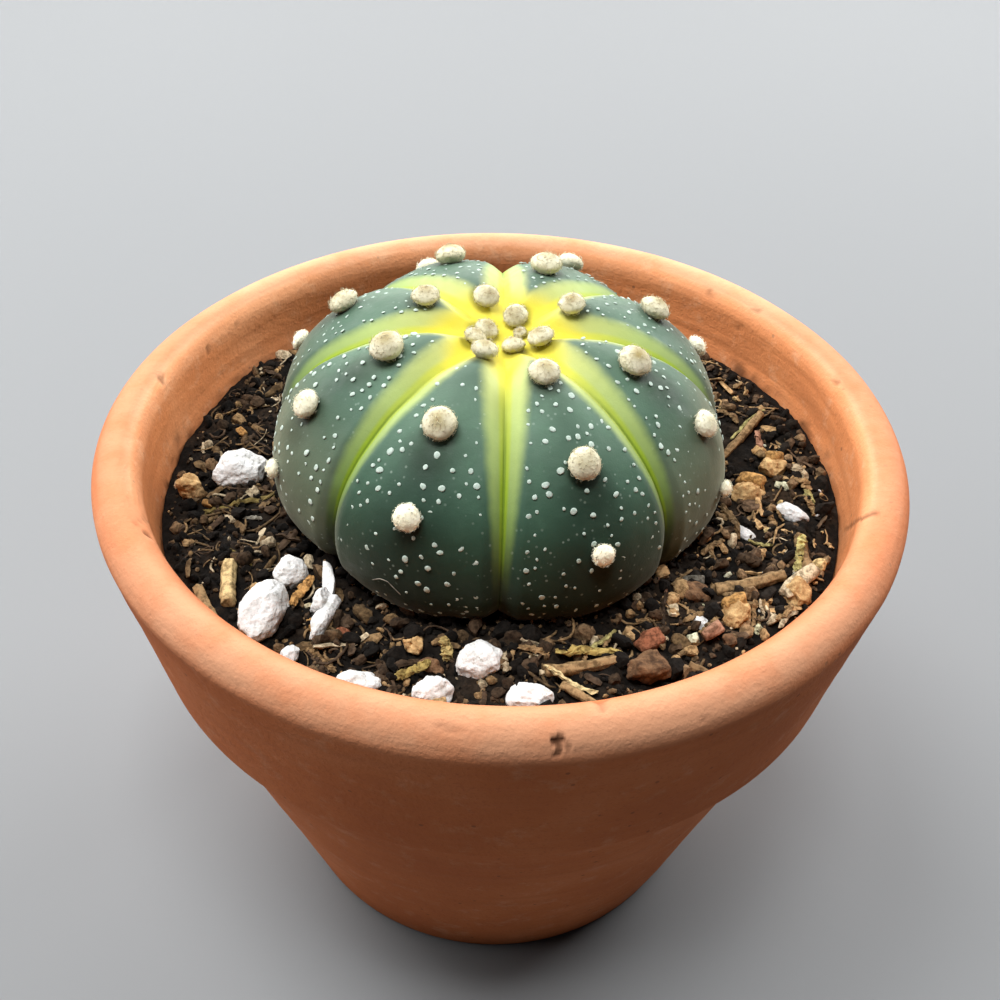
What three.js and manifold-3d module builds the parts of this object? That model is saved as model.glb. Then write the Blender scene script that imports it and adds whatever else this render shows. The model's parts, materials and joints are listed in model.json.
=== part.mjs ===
// Potted star cactus: an eight-ribbed star cactus in dark potting soil, in a small terracotta pot.
// Millimetres, +Z up. The origin is the centre of the pot's foot, and -Y is the front.
import * as THREE from 'three';
import { mergeVertices } from 'three/addons/utils/BufferGeometryUtils.js';
import Module from 'manifold-3d';

const wasm = await Module();
wasm.setup();

// Pot: the rim is the widest place, and the other pot sizes are worked out from it
const RIM_RADIUS = 41;
const POT_HEIGHT = 60.2;
const LIP_OUTER_ROUND = 2.6;
const LIP_INNER_ROUND = 2.1;
const LIP_DROP = 2.8;
const COLLAR_BOTTOM = 39.4;
const COLLAR_BOTTOM_RADIUS = RIM_RADIUS - 2.7;
const COLLAR_STEP = 1.6;
const COLLAR_EDGE_ROUND = 0.7;
const FOOT_RADIUS = 26.4;
const FOOT_CHAMFER = 0.8;
const WALL = 4;
const FLOOR_THICKNESS = 5.2;
const FLOOR_CORNER = 2.4;
const DRAIN_RADIUS = 4.5;
const POT_SIDES = 72;
const LIP_STEPS = 3;

// Soil
const SOIL_LEVEL = POT_HEIGHT - 8.6;
const WALL_BEND_LEVEL = SOIL_LEVEL + 1.5;
const SOIL_WAVE = 0.5;
const WAVE_ALONG_X = 0.21;
const WAVE_ALONG_Y = 0.17;
const WAVE_SLANT = 0.11;
const SOIL_EDGE_DROP = 0.4;
const GAP = 0.3;
const CRUMB_COUNT = 420;
const CRUMB_REACH = 34;
const CRUMB_RADIUS = 1;
const CRUMB_RADIUS_SPREAD = 1.4;
const CRUMB_DIP = -0.5;
const CRUMB_RISE = 1;

// Cactus: one grown body, its widest level just above the soil
const CACTUS_RADIUS = 23.6;
const CACTUS_RISE = 15.2;
const CACTUS_DROP = 12;
const CACTUS_ROUNDNESS = 2.13;
const CROWN_SINK = 3.4;
const CROWN_SINK_WIDTH = 5.4;
const CACTUS_PLACE = new THREE.Vector3(-0.35, 0.4, SOIL_LEVEL + 5.5);
const LEAN_TO_FRONT = THREE.MathUtils.degToRad(2.5);
const LEAN_TO_RIGHT = THREE.MathUtils.degToRad(1.1);
const RIB_COUNT = 8;
const RIB_ANGLE = 2 * Math.PI / RIB_COUNT;
const RIB_TWIST = THREE.MathUtils.degToRad(1.4);
const RIB_SWELL = 0.7;
const FURROW_DEPTH = 1.2;
const FURROW_HALF_WIDTH = 1.5;
const FURROW_SHARPNESS = 1.4;
const FURROW_STARTS = 1;
const FURROW_FULL = 8;
const TAPROOT_RADIUS = 4.5;
const TAPROOT_TIP_RADIUS = 1.4;
const TAPROOT_LENGTH = 13;
const TAPROOT_NECK = 1.5;
const TAPROOT_TIP_TAPER = 1;
const TAPROOT_ROOTED = 2;
const TAPROOT_SIDES = 16;

// Areoles: woolly buttons on the rib crests, three eighths of a turn from each to the next
const AREOLE_TURN = 3 * RIB_ANGLE;
const AREOLE_FIRST_AZIMUTH = 5.5 * RIB_ANGLE;
const AREOLE_FIRST_ARC = 6;
const AREOLE_PITCH = 1.32;
const AREOLE_PITCH_LOSS = 0.0105;
const AREOLE_CROWN_SHRINK = 0.84;
const AREOLE_CENTRE_SHIFT = 0.45;
const AREOLE_OLDEST = 28;
const AREOLE_YOUNGEST = -8;
const AREOLE_DIAMETER = 3.2;
const AREOLE_YOUNG_SHRINK = 0.93;
const AREOLE_WEAR = 0.0008;
const AREOLE_STAND = 0.9;
const AREOLE_SQUASH = 0.86;
const AREOLE_SOIL_MARGIN = 2.4;
const AREOLE_SIDES = 7;
const AREOLE_RINGS = 5;

// Seeded random numbers from 0 to 1
function randomFrom(seed) {
  let state = seed;
  return () => {
    state = (Math.imul(state, 1664525) + 1013904223) >>> 0;
    return state / 4294967296;
  };
}

// A closed three.js geometry as a solid, turned right side out if its faces point in
function toSolid(geometry) {
  const bare = geometry.clone();
  bare.deleteAttribute('normal');
  bare.deleteAttribute('uv');
  const welded = mergeVertices(bare, 1e-5);
  const vertProperties = new Float32Array(welded.attributes.position.array);
  const index = Array.from(welded.index.array);
  const triVerts = new Uint32Array(signedVolume(vertProperties, index) < 0 ? index.reverse() : index);
  return new wasm.Manifold(new wasm.Mesh({ numProp: 3, vertProperties, triVerts }));
}

function signedVolume(positions, index) {
  const corner = (i) => new THREE.Vector3().fromArray(positions, 3 * i);
  let volume = 0;
  for (let i = 0; i < index.length; i += 3) {
    const cross = corner(index[i]).cross(corner(index[i + 1]));
    volume += cross.dot(corner(index[i + 2])) / 6;
  }
  return volume;
}

function toGeometry(solid) {
  const mesh = solid.getMesh();
  const geometry = new THREE.BufferGeometry();
  geometry.setAttribute('position', new THREE.BufferAttribute(new Float32Array(mesh.vertProperties), 3));
  geometry.setIndex(new THREE.BufferAttribute(new Uint32Array(mesh.triVerts), 1));
  geometry.computeVertexNormals();
  return geometry;
}

// A closed surface of rings between two pole points; ring(i, j) gives a corner
function ringedGeometry(rings, sides, bottomPole, topPole, ring) {
  const positions = [...bottomPole.toArray()];
  for (let i = 0; i < rings; i++) {
    for (let j = 0; j < sides; j++) positions.push(...ring(i, j).toArray());
  }
  positions.push(...topPole.toArray());
  const top = rings * sides + 1;
  const corner = (i, j) => 1 + i * sides + (j % sides);
  const index = [];
  for (let j = 0; j < sides; j++) {
    index.push(0, corner(0, j + 1), corner(0, j));
    index.push(top, corner(rings - 1, j), corner(rings - 1, j + 1));
    for (let i = 0; i + 1 < rings; i++) {
      index.push(corner(i, j), corner(i, j + 1), corner(i + 1, j + 1));
      index.push(corner(i, j), corner(i + 1, j + 1), corner(i + 1, j));
    }
  }
  const geometry = new THREE.BufferGeometry();
  geometry.setAttribute('position', new THREE.Float32BufferAttribute(positions, 3));
  geometry.setIndex(index);
  return geometry;
}

// Revolves an outline of [radius, height] points about Z
function revolve(outline, sides) {
  const points = outline.map(([radius, height]) => new THREE.Vector2(radius, height));
  return new THREE.LatheGeometry(points, sides).rotateX(Math.PI / 2);
}

function quarterArc(centre, radii, from, to, steps) {
  return Array.from({ length: steps + 1 }, (_, i) => {
    const angle = from + (to - from) * i / steps;
    return [centre[0] + radii[0] * Math.cos(angle), centre[1] + radii[1] * Math.sin(angle)];
  });
}

// Pot wall, inside: radius at a height
function potInnerRadius(height) {
  const slope = (COLLAR_BOTTOM_RADIUS - COLLAR_STEP - FOOT_RADIUS) / COLLAR_BOTTOM;
  return FOOT_RADIUS - WALL + slope * height;
}

function potOutline() {
  const lipLevel = POT_HEIGHT - LIP_DROP;
  const lipCentre = RIM_RADIUS - LIP_OUTER_ROUND;
  const bodyTopRadius = COLLAR_BOTTOM_RADIUS - COLLAR_STEP;
  const quarter = Math.PI / 2;
  return [
    [DRAIN_RADIUS, 0],
    [FOOT_RADIUS - FOOT_CHAMFER, 0],
    [FOOT_RADIUS, FOOT_CHAMFER],
    [bodyTopRadius, COLLAR_BOTTOM - COLLAR_EDGE_ROUND],
    [COLLAR_BOTTOM_RADIUS - COLLAR_EDGE_ROUND, COLLAR_BOTTOM],
    [COLLAR_BOTTOM_RADIUS, COLLAR_BOTTOM + COLLAR_EDGE_ROUND],
    ...quarterArc([lipCentre, lipLevel], [LIP_OUTER_ROUND, LIP_DROP], 0, quarter, LIP_STEPS),
    ...quarterArc([lipCentre, lipLevel], [LIP_INNER_ROUND, LIP_DROP], quarter, 2 * quarter, LIP_STEPS).slice(1),
    [potInnerRadius(WALL_BEND_LEVEL), WALL_BEND_LEVEL],
    [potInnerRadius(FLOOR_THICKNESS + FLOOR_CORNER), FLOOR_THICKNESS + FLOOR_CORNER],
    [potInnerRadius(FLOOR_THICKNESS) - FLOOR_CORNER, FLOOR_THICKNESS],
    [DRAIN_RADIUS, FLOOR_THICKNESS],
    [DRAIN_RADIUS, 0],
  ];
}

// Cactus skin: one side of its outline, from the crown over the widest level to the underside
const MERIDIAN_STEPS = 600;
const MERIDIAN = [];
for (let i = 0; i <= MERIDIAN_STEPS; i++) {
  const angle = Math.PI * i / MERIDIAN_STEPS;
  const power = 2 / CACTUS_ROUNDNESS;
  const radius = CACTUS_RADIUS * Math.abs(Math.sin(angle)) ** power;
  const rise = angle < Math.PI / 2 ? CACTUS_RISE : -CACTUS_DROP;
  const sink = CROWN_SINK * Math.exp(-((radius / CROWN_SINK_WIDTH) ** 2)) * (rise > 0 ? 1 : 0);
  const height = rise * Math.abs(Math.cos(angle)) ** power - sink;
  const last = MERIDIAN[i - 1];
  const arc = last ? last.arc + Math.hypot(radius - last.radius, height - last.height) : 0;
  MERIDIAN.push({ arc, radius, height });
}
const MERIDIAN_LENGTH = MERIDIAN[MERIDIAN_STEPS].arc;

// Radius, height and outward normal at an arc length from the crown
function meridianAt(arc) {
  const next = Math.min(Math.max(MERIDIAN.findIndex((point) => point.arc >= arc), 1), MERIDIAN_STEPS);
  const a = MERIDIAN[next - 1];
  const b = MERIDIAN[next];
  const share = (arc - a.arc) / (b.arc - a.arc);
  const length = b.arc - a.arc;
  return {
    radius: a.radius + share * (b.radius - a.radius),
    height: a.height + share * (b.height - a.height),
    normal: [-(b.height - a.height) / length, (b.radius - a.radius) / length],
  };
}

// How far the skin lies below the smooth outline: ribs swell between sharp furrows
function furrowSink(arc, radius, azimuth) {
  const turns = (azimuth - RIB_TWIST) / RIB_ANGLE;
  const fromFurrow = Math.abs(turns - Math.round(turns)) * RIB_ANGLE;
  const crease = Math.max(0, 1 - radius * fromFurrow / FURROW_HALF_WIDTH);
  const swell = RIB_SWELL * (1 + Math.cos(RIB_COUNT * fromFurrow)) / 2;
  const fade = THREE.MathUtils.smoothstep(arc, FURROW_STARTS, FURROW_FULL);
  return fade * (swell + FURROW_DEPTH * crease ** FURROW_SHARPNESS);
}

function skinPoint(arc, azimuth, outset) {
  const { radius, height, normal } = meridianAt(arc);
  const offset = outset - furrowSink(arc, radius, azimuth);
  const reach = radius + offset * normal[0];
  return new THREE.Vector3(reach * Math.cos(azimuth), reach * Math.sin(azimuth), height + offset * normal[1]);
}

// Columns across a rib, as shares of its width, gather at the furrows. The socket in the soil is
// coarser and runs straight across the furrows.
const SKIN_COLUMNS = [0, 0.035, 0.085, 0.2, 0.35, 0.5, 0.65, 0.8, 0.915, 0.965];
const SKIN_ROWS = 23;
const SOCKET_COLUMNS = [0.09, 0.36, 0.64, 0.91];
const SOCKET_ROWS = 11;

function skinGeometry(outset, ribColumns, rows) {
  const columns = RIB_COUNT * ribColumns.length;
  const azimuthOf = (j) => {
    const rib = Math.floor(j / ribColumns.length);
    return RIB_TWIST + RIB_ANGLE * (rib + ribColumns[j % ribColumns.length]);
  };
  const arcOf = (i) => MERIDIAN_LENGTH * (1 - (i + 1) / (rows + 1));
  const crown = skinPoint(0, 0, 0).setZ(MERIDIAN[0].height + outset);
  const base = skinPoint(0, 0, 0).setZ(-CACTUS_DROP - outset);
  return ringedGeometry(rows, columns, base, crown, (i, j) => skinPoint(arcOf(i), azimuthOf(j), outset));
}

function taprootGeometry(outset) {
  const top = -CACTUS_DROP + TAPROOT_ROOTED;
  const neck = -CACTUS_DROP - TAPROOT_NECK;
  const tip = -CACTUS_DROP - TAPROOT_LENGTH - outset;
  return revolve([
    [0, tip],
    [TAPROOT_TIP_RADIUS + outset, tip + TAPROOT_TIP_TAPER],
    [TAPROOT_RADIUS + outset, neck],
    [TAPROOT_RADIUS + outset, top],
    [0, top],
  ], TAPROOT_SIDES);
}

// Azimuth and arc length of areole n: near-even steps down the ribs, crowding where they are born.
// The growing point sits a little to the front of the crown's middle.
function areolePlace(n) {
  const azimuth = RIB_TWIST + AREOLE_FIRST_AZIMUTH + AREOLE_TURN * n;
  const young = AREOLE_FIRST_ARC * AREOLE_CROWN_SHRINK ** -n;
  const grown = AREOLE_FIRST_ARC + AREOLE_PITCH * n - AREOLE_PITCH_LOSS * n * n;
  const shift = AREOLE_CENTRE_SHIFT * Math.sin(azimuth) * Math.min(1, young / AREOLE_FIRST_ARC);
  return { azimuth, arc: (n < 0 ? young : grown) + shift };
}

function areoleGeometry(n) {
  const { azimuth, arc } = areolePlace(n);
  const age = n < 0 ? AREOLE_YOUNG_SHRINK ** -n : 1 - AREOLE_WEAR * n * n;
  const radius = AREOLE_DIAMETER / 2 * age;
  const { normal } = meridianAt(arc);
  const up = new THREE.Vector3(normal[0] * Math.cos(azimuth), normal[0] * Math.sin(azimuth), normal[1]);
  const centre = skinPoint(arc, azimuth, 0).addScaledVector(up, AREOLE_STAND * age);
  const place = new THREE.Matrix4().compose(
    centre,
    new THREE.Quaternion().setFromUnitVectors(new THREE.Vector3(0, 1, 0), up),
    new THREE.Vector3(radius, radius * AREOLE_SQUASH, radius),
  );
  return new THREE.SphereGeometry(1, AREOLE_SIDES, AREOLE_RINGS).applyMatrix4(place);
}

const cactusTurn = new THREE.Quaternion().setFromEuler(new THREE.Euler(LEAN_TO_FRONT, LEAN_TO_RIGHT, 0, 'YXZ'));
const cactusMatrix = new THREE.Matrix4().compose(CACTUS_PLACE, cactusTurn, new THREE.Vector3(1, 1, 1));

function cactusSolid() {
  let solid = toSolid(skinGeometry(0, SKIN_COLUMNS, SKIN_ROWS)).add(toSolid(taprootGeometry(0)));
  for (let n = AREOLE_YOUNGEST; n <= AREOLE_OLDEST; n++) {
    const { azimuth, arc } = areolePlace(n);
    const level = skinPoint(arc, azimuth, 0).applyMatrix4(cactusMatrix).z;
    if (level > SOIL_LEVEL + AREOLE_SOIL_MARGIN) solid = solid.add(toSolid(areoleGeometry(n)));
  }
  return solid;
}

// Soil: a slow wave and seeded crumbs on a filling of the pot
const crumbRandom = randomFrom(11);
const CRUMBS = Array.from({ length: CRUMB_COUNT }, () => {
  const reach = CRUMB_REACH * Math.sqrt(crumbRandom());
  const azimuth = 2 * Math.PI * crumbRandom();
  return {
    x: reach * Math.cos(azimuth),
    y: reach * Math.sin(azimuth),
    radius: CRUMB_RADIUS + CRUMB_RADIUS_SPREAD * crumbRandom(),
    height: CRUMB_DIP + (CRUMB_RISE - CRUMB_DIP) * crumbRandom(),
  };
});

function soilWave(x, y) {
  const straight = Math.sin(WAVE_ALONG_X * x + 0.5);
  const slanted = Math.sin(WAVE_ALONG_Y * y + WAVE_SLANT * x + 2);
  return SOIL_LEVEL + SOIL_WAVE * (straight + slanted) / 2;
}

function soilHeight(x, y) {
  let height = soilWave(x, y);
  for (const crumb of CRUMBS) {
    const near = 1 - ((x - crumb.x) ** 2 + (y - crumb.y) ** 2) / crumb.radius ** 2;
    if (near > 0) height += crumb.height * near;
  }
  return height;
}

const SOIL_SIDES = 90;
const SOIL_RING_RADII = [32.9, 31.1, 29.3, 27.5, 25.7, 23.9, 21, 12];

function soilFillingGeometry() {
  const bottom = FLOOR_THICKNESS + GAP;
  const cornerLevel = FLOOR_THICKNESS + FLOOR_CORNER;
  const wall = (height) => potInnerRadius(height) - GAP;
  const edge = wall(SOIL_LEVEL);
  const sideRings = [
    [wall(FLOOR_THICKNESS) - FLOOR_CORNER, bottom],
    [wall(cornerLevel), cornerLevel + GAP / 2],
  ];
  const ring = (i, j) => {
    const azimuth = 2 * Math.PI * j / SOIL_SIDES;
    const onSide = i < sideRings.length;
    const onEdge = i === sideRings.length;
    const radius = onSide ? sideRings[i][0] : onEdge ? edge : SOIL_RING_RADII[i - sideRings.length - 1];
    const x = radius * Math.cos(azimuth);
    const y = radius * Math.sin(azimuth);
    const height = onSide ? sideRings[i][1] : onEdge ? soilWave(x, y) - SOIL_EDGE_DROP : soilHeight(x, y);
    return new THREE.Vector3(x, y, height);
  };
  const rings = sideRings.length + 1 + SOIL_RING_RADII.length;
  const below = new THREE.Vector3(0, 0, bottom);
  const above = new THREE.Vector3(0, 0, soilHeight(0, 0));
  return ringedGeometry(rings, SOIL_SIDES, below, above, ring);
}

// A rough lump: a faceted ball with seeded dents, given its length, width and height.
// Lumps shorter than SMALL_LUMP have fewer faces.
const SMALL_LUMP = 2.5;

function lumpGeometry(size, roughness, seed, outset) {
  const random = randomFrom(seed);
  const ball = new THREE.IcosahedronGeometry(1, size[0] < SMALL_LUMP ? 0 : 1);
  ball.deleteAttribute('normal');
  ball.deleteAttribute('uv');
  const welded = mergeVertices(ball, 1e-4);
  const position = welded.attributes.position;
  const corner = new THREE.Vector3();
  for (let i = 0; i < position.count; i++) {
    corner.fromBufferAttribute(position, i).multiplyScalar(1 - roughness * random());
    corner.multiply(new THREE.Vector3(...size).multiplyScalar(0.5).addScalar(outset));
    position.setXYZ(i, corner.x, corner.y, corner.z);
  }
  return welded;
}

// A stick: six-sided and a little bent
const STICK_SIDES = 6;
const STICK_STEPS = 4;
const STICK_BEND = 0.6;

function stickGeometry(from, to, diameter, seed, outset) {
  const random = randomFrom(seed);
  const along = to.clone().sub(from).normalize();
  const bend = new THREE.Vector3(-along.y, along.x, 0.6).multiplyScalar((2 * random() - 1) * STICK_BEND);
  const middle = from.clone().add(to).multiplyScalar(0.5).add(bend);
  const start = from.clone().addScaledVector(along, -outset);
  const end = to.clone().addScaledVector(along, outset);
  const path = new THREE.QuadraticBezierCurve3(start, middle, end);
  const radius = diameter / 2 + outset;
  const corners = Array.from({ length: STICK_SIDES }, (_, i) => {
    const angle = 2 * Math.PI * i / STICK_SIDES;
    return new THREE.Vector2(radius * Math.cos(angle), radius * Math.sin(angle));
  });
  return new THREE.ExtrudeGeometry(new THREE.Shape(corners), { steps: STICK_STEPS, extrudePath: path });
}

// Loose pieces on the soil: x, y, length, width, height, turn in degrees, rise above the soil
const PERLITE = [
  [-27.8, -1, 6.2, 4.8, 4.4, 10, 0.9],
  [-20, -16.4, 3.8, 3.4, 3.4, 60, 0.9],
  [-21.7, -22.2, 7, 4.6, 4.8, 80, 1.2],
  [-16.4, -19.9, 3.4, 2, 3.4, 75, 0.7],
  [-18.4, -26.4, 2, 1.9, 1.9, 20, 0.5],
  [-12, -29.4, 4.1, 2.8, 2.6, 5, 0.5],
  [-1.4, -26.7, 4.6, 3.8, 3.8, 20, 0.9],
  [-5.4, -30, 4, 3, 3, -10, 0.7],
  [3, -30.6, 4.6, 3, 2.6, 0, 0.6],
  [18.9, -20.8, 2, 1.7, 1.6, 30, 0.4],
  [30.3, -4.8, 4.2, 1.8, 1.8, -40, 0.5],
  [24.9, -8, 2.8, 1.5, 1.5, -50, 0.4],
  [-13.5, 26.5, 4.2, 3.4, 3, 30, 0.7],
  [5.5, 29, 5, 3.6, 3.4, -20, 0.8],
  [16, 25, 2.6, 2.2, 2, 10, 0.5],
];
const GRIT = [
  [-32.6, -3.6, 2.7, 2.4, 2.4, 0, 0.9],
  [-7.6, -24.6, 2.1, 2, 2, 0, 0.8],
  [29.4, 2, 3, 2.7, 2.5, 20, 0.6],
  [26.3, -1.8, 3.7, 2.8, 2.6, 10, 0.6],
  [28.4, 5.4, 1.8, 1.7, 1.6, 0, 0.5],
  [22.3, -19.8, 3.2, 2.7, 2.4, 30, 0.6],
  [28.6, -17, 3.2, 2.6, 2.4, 60, 0.6],
];
const BARK = [
  [13.8, -26.4, 4.6, 3.4, 3, 15, 0.5],
  [18.9, -17.1, 3, 2.3, 2.2, -45, 0.5],
  [21.4, -23, 2, 1.6, 1.5, 20, 0.4],
  [-5.8, -26.9, 2.6, 1.6, 1.6, -20, 0.4],
  [-3, 30, 5, 2.6, 2.2, 10, 0.4],
  [-24, 18.5, 3.4, 2.4, 2, 50, 0.4],
];

// Sticks and straws: from x, y and rise, to x, y and rise, diameter
const STICKS = [
  [21.2, -16.4, 0.5, 27.4, -14.9, 1, 1.2],
  [30.3, -9.2, 0.9, 30.4, -13.4, 0.5, 1.2],
  [23.8, 3.9, 0.4, 29.2, 10.6, 1.3, 0.8],
  [4.6, -27.2, 0.5, 10.9, -25.8, 0.8, 1.1],
  [6, -28.8, 0.5, 9.6, -31.2, 0.6, 0.7],
  [-28.2, -19, 0.6, -24.6, -24.6, 0.5, 1],
];
const STRAWS = [
  [-25.9, -15.6, 0.8, -25.1, -20.3, 0.5, 1.4],
  [9, 28.5, 0.6, 14.4, 29.5, 0.8, 1.2],
];

const material = (color, roughness) => new THREE.MeshStandardMaterial({ color, roughness, metalness: 0 });
const TERRACOTTA = material(0xc57a4e, 0.85);
const CACTUS_SKIN = material(0x4a6650, 0.6);
const SOIL = material(0x3a2c20, 0.95);
const PERLITE_WHITE = material(0xf0efec, 0.9);
const GRIT_TAN = material(0xb08a60, 0.85);
const BARK_BROWN = material(0x5c3d26, 0.9);
const STICK_TAN = material(0xa98455, 0.85);
const STRAW_YELLOW = material(0xd8bd7a, 0.8);

const part = new THREE.Group();

function addMesh(name, geometry, meshMaterial) {
  const mesh = new THREE.Mesh(geometry, meshMaterial);
  mesh.name = name;
  part.add(mesh);
  return mesh;
}

addMesh('pot', toGeometry(toSolid(revolve(potOutline(), POT_SIDES))), TERRACOTTA);

const cactus = addMesh('cactus', toGeometry(cactusSolid()), CACTUS_SKIN);
cactus.position.copy(CACTUS_PLACE);
cactus.quaternion.copy(cactusTurn);

// The soil is hollowed round the cactus and round each loose piece
const CLEARANCE = GAP + 0.1;
let soil = toSolid(soilFillingGeometry());
const socket = skinGeometry(CLEARANCE + GAP, SOCKET_COLUMNS, SOCKET_ROWS).applyMatrix4(cactusMatrix);
soil = soil.subtract(toSolid(socket));
soil = soil.subtract(toSolid(taprootGeometry(CLEARANCE).applyMatrix4(cactusMatrix)));

function addLumps(kind, rows, roughness, meshMaterial) {
  rows.forEach(([x, y, length, width, height, turn, rise], i) => {
    const seed = 97 * (i + 1) + kind.length;
    const place = new THREE.Matrix4().makeRotationZ(THREE.MathUtils.degToRad(turn));
    place.setPosition(x, y, soilWave(x, y) + rise);
    const name = `${kind}_${String(i + 1).padStart(2, '0')}`;
    const size = [length, width, height];
    const mesh = addMesh(name, lumpGeometry(size, roughness, seed, 0), meshMaterial);
    mesh.applyMatrix4(place);
    const nest = lumpGeometry(size, roughness, seed, CLEARANCE).applyMatrix4(place);
    soil = soil.subtract(toSolid(nest));
  });
}

function addSticks(kind, rows, meshMaterial) {
  rows.forEach(([x0, y0, rise0, x1, y1, rise1, diameter], i) => {
    const from = new THREE.Vector3(x0, y0, soilWave(x0, y0) + rise0);
    const to = new THREE.Vector3(x1, y1, soilWave(x1, y1) + rise1);
    const seed = 31 * (i + 1) + kind.length;
    const name = `${kind}_${String(i + 1).padStart(2, '0')}`;
    addMesh(name, toGeometry(toSolid(stickGeometry(from, to, diameter, seed, 0))), meshMaterial);
    soil = soil.subtract(toSolid(stickGeometry(from, to, diameter, seed, CLEARANCE)));
  });
}

const PERLITE_DENTS = 0.22;
const GRIT_DENTS = 0.1;
const BARK_DENTS = 0.3;
addLumps('perlite', PERLITE, PERLITE_DENTS, PERLITE_WHITE);
addLumps('grit', GRIT, GRIT_DENTS, GRIT_TAN);
addLumps('bark', BARK, BARK_DENTS, BARK_BROWN);
addSticks('stick', STICKS, STICK_TAN);
addSticks('straw', STRAWS, STRAW_YELLOW);
addMesh('soil', toGeometry(soil), SOIL);

export default part;
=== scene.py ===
"""Potted star cactus: its looks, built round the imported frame.

Places are in the frame's metres, +Z up, with -Y as the front. Sizes are named in millimetres, and add_mesh
scales each finished mesh by MM.
"""
import json
import math
from collections import namedtuple

import bmesh
import bpy
import numpy as np
from mathutils import Matrix, Vector
from mathutils.bvhtree import BVHTree
from numpy.random import default_rng

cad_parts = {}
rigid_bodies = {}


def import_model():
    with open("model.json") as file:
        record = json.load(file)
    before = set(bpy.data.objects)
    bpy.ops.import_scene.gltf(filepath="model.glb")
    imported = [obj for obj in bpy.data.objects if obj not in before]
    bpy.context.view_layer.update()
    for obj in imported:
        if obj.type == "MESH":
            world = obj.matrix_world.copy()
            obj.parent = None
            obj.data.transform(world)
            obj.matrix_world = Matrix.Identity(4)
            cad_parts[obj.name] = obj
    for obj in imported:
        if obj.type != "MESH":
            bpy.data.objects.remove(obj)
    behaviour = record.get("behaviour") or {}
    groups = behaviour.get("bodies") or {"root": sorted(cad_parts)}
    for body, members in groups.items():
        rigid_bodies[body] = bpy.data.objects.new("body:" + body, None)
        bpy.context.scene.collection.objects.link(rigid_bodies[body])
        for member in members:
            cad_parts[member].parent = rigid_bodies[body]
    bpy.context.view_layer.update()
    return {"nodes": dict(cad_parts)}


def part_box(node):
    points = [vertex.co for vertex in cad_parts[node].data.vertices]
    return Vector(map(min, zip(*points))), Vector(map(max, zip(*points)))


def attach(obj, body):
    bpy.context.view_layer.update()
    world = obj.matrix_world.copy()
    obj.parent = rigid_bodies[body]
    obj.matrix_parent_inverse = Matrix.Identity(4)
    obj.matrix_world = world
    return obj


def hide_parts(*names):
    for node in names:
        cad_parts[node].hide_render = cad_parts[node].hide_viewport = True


for startup_object in list(bpy.data.objects):
    bpy.data.objects.remove(startup_object)
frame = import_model()
MM = 0.001
TAU = 2 * math.pi

# Pot sizes
RIM_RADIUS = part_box("pot")[1].x / MM
POT_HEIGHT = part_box("pot")[1].z / MM
LIP_OUTER_ROUND = 2.6
LIP_INNER_ROUND = 2.1
LIP_DROP = 2.8
COLLAR_BOTTOM = 39.4
COLLAR_BOTTOM_RADIUS = RIM_RADIUS - 2.7
COLLAR_STEP = 1.6
COLLAR_EDGE_ROUND = 0.7
FOOT_RADIUS = 26.4
FOOT_CHAMFER = 0.8
WALL = 4
FLOOR_THICKNESS = 5.2
FLOOR_CORNER = 2.4
DRAIN_RADIUS = 4.5

# Soil sizes
SOIL_LEVEL = POT_HEIGHT - 8.6
SOIL_WAVE = 0.5
SOIL_GAP = 0.3

# Cactus sizes
CACTUS_RADIUS = 23.6
CACTUS_RISE = 15.2
CACTUS_DROP = 12
CACTUS_ROUNDNESS = 2.13
CROWN_SINK = 3.4
CROWN_SINK_WIDTH = 5.4
CACTUS_PLACE = np.array([-0.35, 0.4, SOIL_LEVEL + 5.5])
LEAN_TO_FRONT = math.radians(2.5)
LEAN_TO_RIGHT = math.radians(1.1)
RIB_COUNT = 8
RIB_ANGLE = TAU / RIB_COUNT
RIB_TWIST = math.radians(1.4)
RIB_SWELL = 0.7
FURROW_DEPTH = 1.0
FURROW_HALF_WIDTH = 1.9
FURROW_SHARPNESS = 1.4
FURROW_STARTS = 1
FURROW_FULL = 8
TAPROOT_RADIUS = 4.5
TAPROOT_TIP_RADIUS = 0.84
TAPROOT_LENGTH = 13

# Areoles
AREOLE_TURN = 3 * RIB_ANGLE
AREOLE_FIRST_AZIMUTH = 5.5 * RIB_ANGLE
AREOLE_FIRST_ARC = 6
AREOLE_PITCH = 1.32
AREOLE_PITCH_LOSS = 0.0105
AREOLE_CROWN_SHRINK = 0.84
AREOLE_CENTRE_SHIFT = 0.45
AREOLE_OLDEST = 28
AREOLE_YOUNGEST = -7
AREOLE_DIAMETER = 3.4
AREOLE_RING_SIZE = 0.76
AREOLE_CROWN_SIZES = {-1: 0.74, -2: 0.76, -3: 0.62, -4: 0.7, -5: 0.66, -6: 0.68, -7: 0.36}
AREOLE_WEAR = 0.0011
AREOLE_STAND = 0.75
AREOLE_SQUASH = 0.66
AREOLE_SOIL_MARGIN = 5.5

# Camera, fitted to the photograph's outlines
CAMERA_PLACE = Vector((0, -0.09099, 0.127585))
CAMERA_PITCH = 0.7163
CAMERA_YAW = -0.001
CAMERA_ROLL = 0.0288
FOCAL_PIXELS = 1100
FRAME_PIXELS = 1000
SENSOR = 36

# Fineness of the meshes
POT_SIDES = 390
CHIP_COLUMNS = 41
MERIDIAN_STEPS = 2400
SKIN_ROWS = 150
FURROW_SHARE = 0.16
FURROW_COLUMNS = 14
RIB_COLUMNS = 34
TAPROOT_SIDES = 28
SOIL_SIDES = 660

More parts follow.
